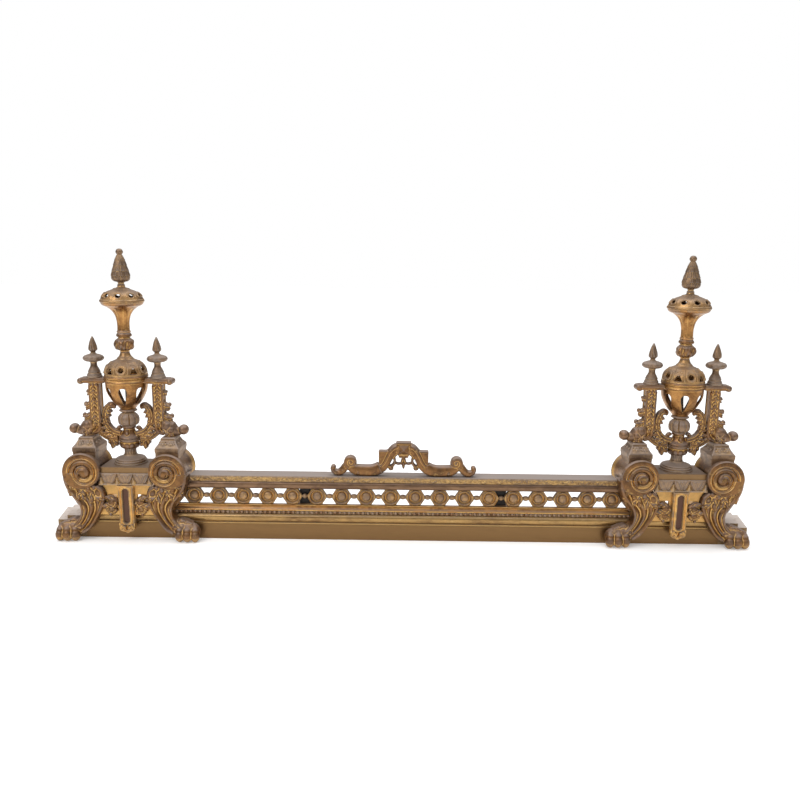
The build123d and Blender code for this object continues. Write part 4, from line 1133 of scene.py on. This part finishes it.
def make_label():
    """Pendant plate with its long slot, and the scrolls at its foot."""
    def face(x, z):
        u = abs(x) / 12.0
        depth = 9.4 + 3.6 * max(0.0, (u - 0.86) / 0.14) ** 2
        edge = abs(abs(x) - 9.6)
        depth += 0.9 * math.exp(-((abs(x) - 8.0) / 0.7) ** 2) - 0.3 * math.exp(-(edge / 0.8) ** 2)
        low = max(0.0, 34.0 - z)
        slot = math.hypot(abs(x), low) if z < 34.0 else abs(x)
        if z > 80.0:
            slot = math.hypot(abs(x), z - 80.0)
        rim = (slot - 5.6) / 0.8
        depth -= 1.2 * math.exp(-rim * rim)
        if slot < 4.9:
            depth = 13.2 - 0.5 * (slot / 4.9) ** 2
        if z > 86.5:
            depth = min(depth, 8.8)
        return depth

    plate = relief(-12, 12, 26.5, 89.4, 0.5, face, 16)
    parts = []
    for side in (-1, 1):
        coil = []
        for i in range(40):
            t = math.radians(90 + side * -1 * 12 * i)
            r = 5.2 - 3.2 * i / 39
            coil.append((side * 5.8 + r * math.cos(t), 21.8 + r * math.sin(t)))
        parts += [
            band(coil, [1.7, 1.5, 1.3, 1.1], 9.6, 15.8, round_section(1.8), 8),
            ball(side * 5.8, 11.0, 21.8, 2.4, 3.2, 2.4),
            band(curve([(side * 11.2, 30), (side * 11.0, 24), (side * 8, 18), (side * 2, 16)], 6),
                [1.0, 1.3, 1.3, 1.0], 10.6, 15.8, round_section(1.4), 8),
        ]
    parts += [
        slab([(-11.6, 29), (11.6, 29), (11.4, 21), (6, 16.6), (-6, 16.6), (-11.4, 21)], 12.6, 15.9),
        ball(0, 12.0, 16.0, 3.3, 3.2, 3.3),
        ball(0, 12.4, 26.0, 2.6, 2.6, 2.0),
    ]
    return join(plate, fused(join(*parts), 0.45, 1))


def make_leaf_cluster():
    """Leaves beside the label on the +X side."""
    parts = [
        leaf((14, 62), (36, 69), 5.4, 12.4, 15.9, 2, 0.12, 1.2, 2.8),
        leaf((13.5, 61), (41, 57), 6.6, 12.0, 15.9, 3, -0.10, 1.6, 3.0),
        ball(21.5, 12.6, 63, 6.2, 4.4, 6.0, 26, 16),
        ball(21.5, 9.6, 63, 2.8, 2.0, 2.6, 16, 10),
        leaf((15, 55), (35, 53), 4.2, 12.6, 15.9, 2, 0.18, 1.0, 2.4),
    ]
    for k in range(5):
        a = math.radians(-160 + 35 * k)
        tip = (23 + 9.4 * math.cos(a), 51 + 8.4 * math.sin(a))
        parts.append(leaf((23, 51), tip, 3.4, 12.4, 15.9, 1, 0.0, 0.8, 2.4))
    parts.append(ball(22.6, 11.8, 51.5, 5.2, 3.8, 4.4, 22, 14))
    parts.append(ball(24.4, 11.4, 42.8, 2.4, 2.4, 2.6))
    skin = fused(join(*parts), 0.5, 1)
    return [(min(max(x, 12.3), 44), min(max(d, 8.0), 15.95), z) for x, d, z in skin[0]], skin[1]


# ---- lyre arms and urn --------------------------------------------------------------------


def make_lyre():
    """Leafy arms on both sides of the urn, and the hub that joins them."""
    arm = curve([(12, 164.5), (19, 166), (26, 169.5), (32, 177), (35.2, 187), (35.2, 197),
        (31.5, 206), (26, 209.5)], 7)

    def two_ridges(u, s):
        return 2.0 * (0.35 + 0.65 * abs(math.cos(math.pi * u)) ** 0.7) * (1 - u ** 10)

    half = [band(arm, [3.8, 4.4, 4.6, 4.4, 4.2, 4.0, 3.8, 3.2], 38.2, 45.8, two_ridges, 18)]
    half.append(ball(25.0, 42, 207.8, 4.8, 5.2, 4.4, 22, 14))
    half.append(tube(curve([(33, 42, 205), (27, 42, 210.8), (21.0, 42, 208.4), (21.4, 42, 203.6)],
        6), [3.4, 3.4, 3.0, 2.0], 14, 1.2))
    sprays = (((34, 205), (24.5, 198), 4.6), ((33.5, 200), (27.0, 190.5), 4.2),
        ((34, 192), (29.8, 184), 3.0), ((31, 181), (41, 192), 4.0), ((29, 174), (41.5, 182), 5.0),
        ((27, 169), (42, 173), 5.2), ((24, 165), (38, 165), 4.8), ((22, 163), (33, 157), 4.4))
    for root, tip, w in sprays:
        half.append(leaf(root, tip, w, 38.4, 45.6, 2, 0.1, 1.2, 2.4))
    outer = curve([(49, 171), (42, 164.5), (34, 159), (26, 157.0), (17, 158.5)], 6)
    half += [
        band(outer, [3.4, 4.0, 4.2, 4.2, 3.6], 38.4, 45.6, two_ridges, 14),
        leaf((33, 161), (25.5, 140.5), 6.8, 38.6, 45.4, 2, -0.14, 2.0, 2.6),
        leaf((22, 159), (17.2, 145), 5.4, 38.8, 45.2, 2, 0.12, 1.4, 2.4),
        ball(30, 39.0, 158.5, 3.9, 3.4, 3.9),
        ball(39, 39.4, 163.5, 3.0, 3.0, 3.0),
    ]
    ear = curve([(10, 42, 166), (15, 42, 167), (17.6, 42, 171), (14.6, 42, 174.6),
        (11.8, 42, 172.2)], 6)
    half.append(tube(ear, [2.6, 3.0, 2.8, 2.6, 2.0], 14, 1.3))
    hub_moves = [(0, 157.2), (15.6, 157.2), (16.3, 158.8), (15.2, 160.6),
        [(11.6, 163.4), (9.4, 168), (8.6, 172.6)], (9.8, 174), (10.2, 176.6), (0, 176.6)]
    hub = lathe(outline(hub_moves), 64)
    parts = half + [mirrored(p) for p in half] + [hub, ball(0, 30.6, 165.6, 2.6, 2.4, 2.8)]
    parts.append(leaf((0, 172), (0, 160.5), 3.4, 31.6, 42, 2, 0.0, 1.0, 1.8))
    skin = fused(join(*parts), 0.6, 2)
    return [(x, d, max(z, 157.05) if math.hypot(x, d - AXIS_D) < 16.2 else z) for x, d,
        z in skin[0]], skin[1]


def drop_prism(width, low, high, reach, turn):
    """Cutter for an opening of drop shape."""
    wide = high - width / 2
    loop = curve([(0, low), (width * 0.30, (low + wide) / 2), (width / 2, wide),
        (width * 0.34, high - 1.2), (0, high), (-width * 0.34, high - 1.2), (-width / 2, wide),
        (-width * 0.30, (low + wide) / 2)], 5, True)
    return turned(slab(loop, AXIS_D - reach, AXIS_D - 4), turn)


def reach_at(profile, z):
    """Outer radius of a turned profile at height z."""
    best = 0.0
    for (r0, z0), (r1, z1) in zip(profile, profile[1:]):
        if min(z0, z1) <= z <= max(z0, z1) and z0 != z1:
            best = max(best, r0 + (r1 - r0) * (z - z0) / (z1 - z0))
    return best


def rim_on(profile, loop, radius, angle, sink=0.3):
    """Raised line that follows a loop of (x, z) over a turned surface."""
    ring = []
    for x, z in loop:
        reach = max(reach_at(profile, z), abs(x) + 0.5)
        ring.append((x, AXIS_D - math.sqrt(reach ** 2 - x ** 2) + sink, z))
    return turned(tube(ring, [radius, radius], 10), angle)


def oval(cx, cz, rx, rz, count=28, start=0.0, sweep=TAU):
    return [(cx + rx * math.cos(start + sweep * i / count), cz
        + rz * math.sin(start + sweep * i / count)) for i in range(count + 1)]


BOWL_HOLES, LID_HOLES, DOME_HOLES = 7, 5, 9


def make_urn(bowl_turn, lid_turn):
    """The turned sections of one urn by node name; the turns place its openings."""
    pieces = {}
    foot = [(0, 117.5), (24.6, 117.5), (24.6, 119.4), (23.2, 120.2), (23.2, 121),
        [(24.0, 122), (23.2, 123.6)], (22.0, 124.0), [(22.2, 125.4), (20.4, 126.6)], (19.0, 126.9),
        [(14.6, 128.4), (10.4, 130.8), (8.6, 134.6)], (8.5, 137.6), (9.0, 141.5), (0, 141.5)]

    def foot_bend(r, z, t):
        return r * (1 + 0.035 * math.cos(16 * t)) if 133 < z < 141 else r

    pieces["urn_foot"] = lathe(outline(foot), 112, foot_bend)
    cup = [(0, 141.5), (9.0, 141.5), [(12.6, 142.4), (14.8, 145.8), (15.0, 150)], (14.6, 152.4),
        (15.8, 153.6), (16.2, 155.2), (15.8, 156.6), (15.0, 157), (0, 157)]

    def cup_bend(r, z, t):
        return r * (0.985 + 0.03 * abs(math.cos(6 * t))) if 142 < z < 152.4 else r

    pieces["urn_cup"] = lathe(outline(cup), 96, cup_bend)
    knop = [(0, 176.6), (10.2, 176.6), (10.8, 177.6), [(14.6, 180.4), (16.2, 185.8), (15.2, 191.6),
            (11.6, 196)], (9.2, 197.6), (8.8, 199.2), [(12.4, 199.9), (13.4, 201.3), (12.2, 202.6)],
            (11.4, 203), (0, 203)]

    def knop_bend(r, z, t):
        if 178.2 < z < 197:
            v = (z - 187.5) / 9.5
            lobe = abs(math.cos(4 * t)) ** 0.4
            vein = 0.35 * math.cos(24 * t) * (1 - v * v) * max(0.0, v + 0.3)
            return r * (0.87 + 0.145 * lobe) + 0.5 * vein
        return r

    pieces["melon_knop"] = lathe(outline(knop, 8), 144, knop_bend)
    bowl = [(11.2, 203.0), [(14.4, 207.6), (21.8, 216), (29.8, 232), (31.0, 245.6)], (31.6, 246.2),
        [(32.4, 247.4), (31.8, 248.6)], (31.2, 249), [(31.9, 250.6), (31.9, 252), (31.4, 253.2)],
        [(32.4, 254), (32.2, 255.2)], (31.6, 256), (28.0, 256), (28.4, 247), [(26.8, 233),
        (18.8, 219), (11.0, 211), (4.0, 208.4)], (4.0, 203.0)]
    holes = [drop_prism(12.0, 211.5, 239.0, 60, TAU * k / BOWL_HOLES + bowl_turn)
        for k in range(BOWL_HOLES)]
    pieces["urn_bowl"] = holed(lathe(outline(bowl, 8), 168), join(*holes))
    lid = outline([(31.6, 256.05), (32.0, 257.0), (31.2, 258),
        [(31.0, 262), (28.2, 269.6), (20.2, 277.2)], (13.4, 280.2), (12.2, 281.2), (11.6, 282.4),
        [(8.8, 285.4), (6.9, 290)], (4.0, 290), (4.0, 278.6),
        [(16.8, 274.6), (25.2, 267), (28.6, 257.6)], (28.6, 256.05)], 8)
    outside = lid[:len(lid) // 2]
    holes, rims = [], []
    for k in range(LID_HOLES):
        a = TAU * k / LID_HOLES + lid_turn
        holes.append(turned(slab(oval(0, 266.4, 4.2, 3.9, 24)[:-1], AXIS_D - 50, AXIS_D - 10), a))
        peak = [(-6.0, 260.2), (6.0, 260.2), (1.6, 268.6), (-1.6, 268.6)]
        holes.append(turned(slab(peak, AXIS_D - 50, AXIS_D - 10), a + TAU / LID_HOLES / 2))
        rims.append(rim_on(outside, oval(0, 266.4, 6.6, 5.9), 1.55, a))
        rims.append(rim_on(outside, oval(0, 271.4, 4.4, 2.2, 16, 0.2, 2.8), 1.0, a
            + TAU / LID_HOLES / 2))
        for side in (-1, 1):
            sweep = [(side * (9.4 - 3.4 * i / 12 + 2.0 * math.sin(math.pi * i / 12)), 260.5
                + 1.35 * i) for i in range(13)]
            rims.append(rim_on(outside, sweep, 1.15, a))
    pieces["urn_lid"] = join(holed(lathe(lid, 168), join(*holes)), *rims)
    neck = [(0, 290), (6.9, 290), (6.6, 291.4), (7.4, 293.4), (8.8, 294.4), [(12.6, 295.8),
        (15.0, 301), (14.2, 308), (10.4, 311.2)], (8.8, 312.6), (8.6, 313.8),
        [(10.8, 315), (11.3, 317), (10.4, 319)], (9.4, 320), (9.2, 321), (0, 321)]

    def neck_bend(r, z, t):
        if 294.6 < z < 311.2:
            v = (z - 303) / 8.4
            wave = math.cos(5 * t + 1.6 * v)
            return r * (0.93 + 0.08 * wave * (1 - 0.5 * v * v)) + 0.35 * math.cos(15 * t - 3 * v)
        return r

    pieces["neck_knop"] = lathe(outline(neck, 8), 128, neck_bend)
    trumpet = [(0, 321), (10.0, 321), (10.3, 322.4), (9.2, 323.6), [(9.0, 330), (9.4, 338),
        (11.6, 347), (16.4, 354.5), (22.8, 359.6)], (23.8, 360), [(28.2, 362), (30.4, 364.6)],
        (30.6, 366), (0, 366)]

    def trumpet_bend(r, z, t):
        if 325 < z < 357:
            return r * (1 + 0.05 * abs(math.cos(4 * t)) - 0.03)
        return r

    pieces["trumpet"] = lathe(outline(trumpet, 8), 128, trumpet_bend)
    dome = outline([(30.4, 366.05), [(31.8, 367.0), (32.1, 368.6), (31.4, 370.2)], (30.4, 370.6),
        [(30.0, 372.4), (27.6, 377.2), (22.0, 381.8), (13.6, 385.2)], (12.0, 386.0), (11.6, 386.8),
        (8.4, 387.6), [(6.2, 388.4), (5.4, 390)], (5.6, 391), (4.0, 391), (4.0, 384),
        [(19.4, 379.2), (26.0, 374.4)], (27.6, 370), (27.6, 366.05)], 8)
    outside = dome[:len(dome) // 2]
    holes, rims = [], []
    for k in range(DOME_HOLES):
        a = TAU * k / DOME_HOLES + lid_turn * 1.6
        holes.append(turned(slab(oval(0, 376.6, 4.0, 2.7, 20)[:-1], AXIS_D - 40, AXIS_D - 8), a))
        rims.append(rim_on(outside, oval(0, 375.4, 6.6, 5.0, 20, -0.15, 3.44), 1.2, a))
        rims.append(rim_on(outside, oval(0, 371.9, 2.6, 1.6, 10, 3.3, 2.8), 0.9, a
            + TAU / DOME_HOLES / 2))
    pieces["dome_cap"] = join(holed(lathe(dome, 168), join(*holes)), *rims)
    flame = [(0, 391), (5.4, 391), (5.6, 392), (4.3, 393), (4.6, 395.4), (5.6, 396), [(10.6, 397.6),
        (13.5, 401.4), (13.3, 408), (10.6, 418), (7.2, 429), (4.2, 435.6)], (3.4, 436.4),
        [(4.9, 438.4), (5.2, 440.6), (3.9, 443.4), (2.0, 444.8)], (0, 445)]

    def flame_bend(r, z, t):
        if 397 < z < 436:
            row = (z - 397) / 7.8
            lobe = abs(math.cos(4.5 * t + math.pi / 2 * (int(row) % 2)))
            rise = row - int(row)
            return r * (0.94 + 0.075 * lobe ** 0.6 * (1.05 - 0.7 * rise)) + 0.12 * math.cos(27 * t)
        return r

    pieces["flame_finial"] = lathe(outline(flame, 14), 144, flame_bend)
    return pieces


egg_plate = relief(-40.5, 40.5, 89.5, 108.5, 0.6, egg_face, 16)
cluster = make_leaf_cluster()
shared = {"egg_moulding": (mesh_of("egg_moulding_relief", egg_plate, 0, egg_paint), dusty_and_sheened,
    "dusty_bronze"), "pendant_label": (mesh_of("pendant_label_cast", make_label(), 45, label_paint),
    panel_gilt, "gilt_bronze"), "acanthus_leaves": (mesh_of("acanthus_cast",
    join(cluster, mirrored(cluster)), 0), cast, "gilt_bronze"),
    "lyre_arms": (mesh_of("lyre_cast", make_lyre(), 0), cast, "gilt_bronze"),
    "small_finials": (mesh_of("small_finials_turned", join(small_finial(-COLUMN_X),
    small_finial(COLUMN_X)), 45), finial_brown, "dusty_bronze"), }
urn_materials = {"urn_foot": (finial_brown, "dusty_bronze"),
    "flame_finial": (finial_brown, "dusty_bronze"), "dome_cap": (boss_gilt, "gilt_bronze"),
    "urn_lid": (boss_gilt, "gilt_bronze"), "melon_knop": (dusty_and_sheened, "dusty_bronze"),
    "neck_knop": (cast, "gilt_bronze"), "urn_cup": (cast, "gilt_bronze")}

for name, x, outward, bowl_turn, lid_turn in (("left", -AXIS_X, -1, 0.122, 0.09),
        ("right", AXIS_X, 1, -0.19, 0.03)):
    pedestal = dict(shared)
    for node_name, part in make_urn(bowl_turn, lid_turn).items():
        material, slot_name = urn_materials.get(node_name, (turned_gilt, "gilt_bronze"))
        pedestal[node_name] = (mesh_of(f"{name}_{node_name}_turned", part, 45), material, slot_name)
    for node_name, (mesh, material, slot_name) in pedestal.items():
        full = f"{name}_{node_name}"
        piece(full + "_detail", mesh, material, slot_name, [full], x)
    for place, side in (("outer", outward), ("inner", -outward)):
        label = f"{name}_{place}"
        piece(label + "_leg_detail", leg_mesh[side], cast, "gilt_bronze", [label + "_leg"], x)
        piece(label + "_cap_block_detail", cap_mesh[side], dusty_and_sheened, "dusty_bronze",
            [label + "_cap_block"], x)
        piece(label + "_column_detail", column_mesh[side], cast, "gilt_bronze", [label + "_column"],
            x)

# ---- floor, light and camera -----------------------------------------------------------
scene = bpy.context.scene
FLOOR_HALF = 9
corners = [(-FLOOR_HALF, -FLOOR_HALF, 0), (FLOOR_HALF, -FLOOR_HALF, 0),
           (FLOOR_HALF, FLOOR_HALF, 0), (-FLOOR_HALF, FLOOR_HALF, 0)]
floor_mesh = bpy.data.meshes.new("floor")
floor_mesh.from_pydata(corners, [], [(0, 1, 2, 3)])
floor = bpy.data.objects.new("floor", floor_mesh)
scene.collection.objects.link(floor)
paper = bpy.data.materials.new("floor_paper")
paper.use_nodes = True
paper_inputs = paper.node_tree.nodes["Principled BSDF"].inputs
for socket_name, value in (("Base Color", (0.88, 0.88, 0.88, 1)), ("Roughness", 0.9),
                           ("Emission Color", (1, 1, 1, 1)), ("Emission Strength", 0.20)):
    paper_inputs[socket_name].default_value = value
floor_mesh.materials.append(paper)

world = bpy.data.worlds.new("studio")
scene.world = world
world.use_nodes = True
tree = world.node_tree
shown = tree.nodes["Background"]
shown.inputs["Color"].default_value = (1.0, 1.0, 1.0, 1)
shown.inputs["Strength"].default_value = 1.0
room = tree.nodes.new("ShaderNodeBackground")
direction = tree.nodes.new("ShaderNodeTexCoord")
height = tree.nodes.new("ShaderNodeSeparateXYZ")
ramp = tree.nodes.new("ShaderNodeValToRGB")
ramp.color_ramp.elements[0].position = 0.02
ramp.color_ramp.elements[0].color = (0.13, 0.105, 0.085, 1)
ramp.color_ramp.elements[1].position = 0.75
ramp.color_ramp.elements[1].color = (0.92, 0.94, 1.0, 1)
ray = tree.nodes.new("ShaderNodeLightPath")
pick = tree.nodes.new("ShaderNodeMixShader")
tree.links.new(direction.outputs["Generated"], height.inputs[0])
tree.links.new(height.outputs["Z"], ramp.inputs[0])
tree.links.new(ramp.outputs[0], room.inputs["Color"])
tree.links.new(ray.outputs["Is Glossy Ray"], pick.inputs[0])
tree.links.new(shown.outputs[0], pick.inputs[1])
tree.links.new(room.outputs[0], pick.inputs[2])
tree.links.new(pick.outputs[0], tree.nodes["World Output"].inputs["Surface"])


def softbox(name, place, target, size, power, colour):
    data = bpy.data.lights.new(name, "AREA")
    data.shape = "RECTANGLE"
    data.size, data.size_y = size
    data.energy = power
    data.color = colour
    lamp = bpy.data.objects.new(name, data)
    lamp.location = place
    lamp.rotation_euler = (Vector(target) - Vector(place)).to_track_quat("-Z", "Y").to_euler()
    scene.collection.objects.link(lamp)


softbox("key", (-1.2, -1.3, 1.7), (0, 0, 0.1), (1.4, 0.9), 18, (1.0, 0.97, 0.93))
softbox("top", (0.1, 0.3, 1.9), (0, 0, 0.1), (2.2, 1.0), 16, (0.95, 0.97, 1.0))

SENSOR = 36.0
FOCAL = 750.0 / 800.0 * SENSOR
CAMERA_PLACE = (-0.0066, -1.1322, 0.4397)
LOOK_DOWN, ROLL = 10.9, 0.71
camera_data = bpy.data.cameras.new("camera")
camera_data.lens = FOCAL
camera_data.sensor_width = SENSOR
camera = bpy.data.objects.new("camera", camera_data)
turn = Matrix.Rotation(math.radians(90 - LOOK_DOWN), 4, "X")
turn = turn @ Matrix.Rotation(math.radians(ROLL), 4, "Z")
camera.matrix_world = Matrix.Translation(CAMERA_PLACE) @ turn
scene.collection.objects.link(camera)
scene.camera = camera
scene.view_settings.view_transform = "Standard"
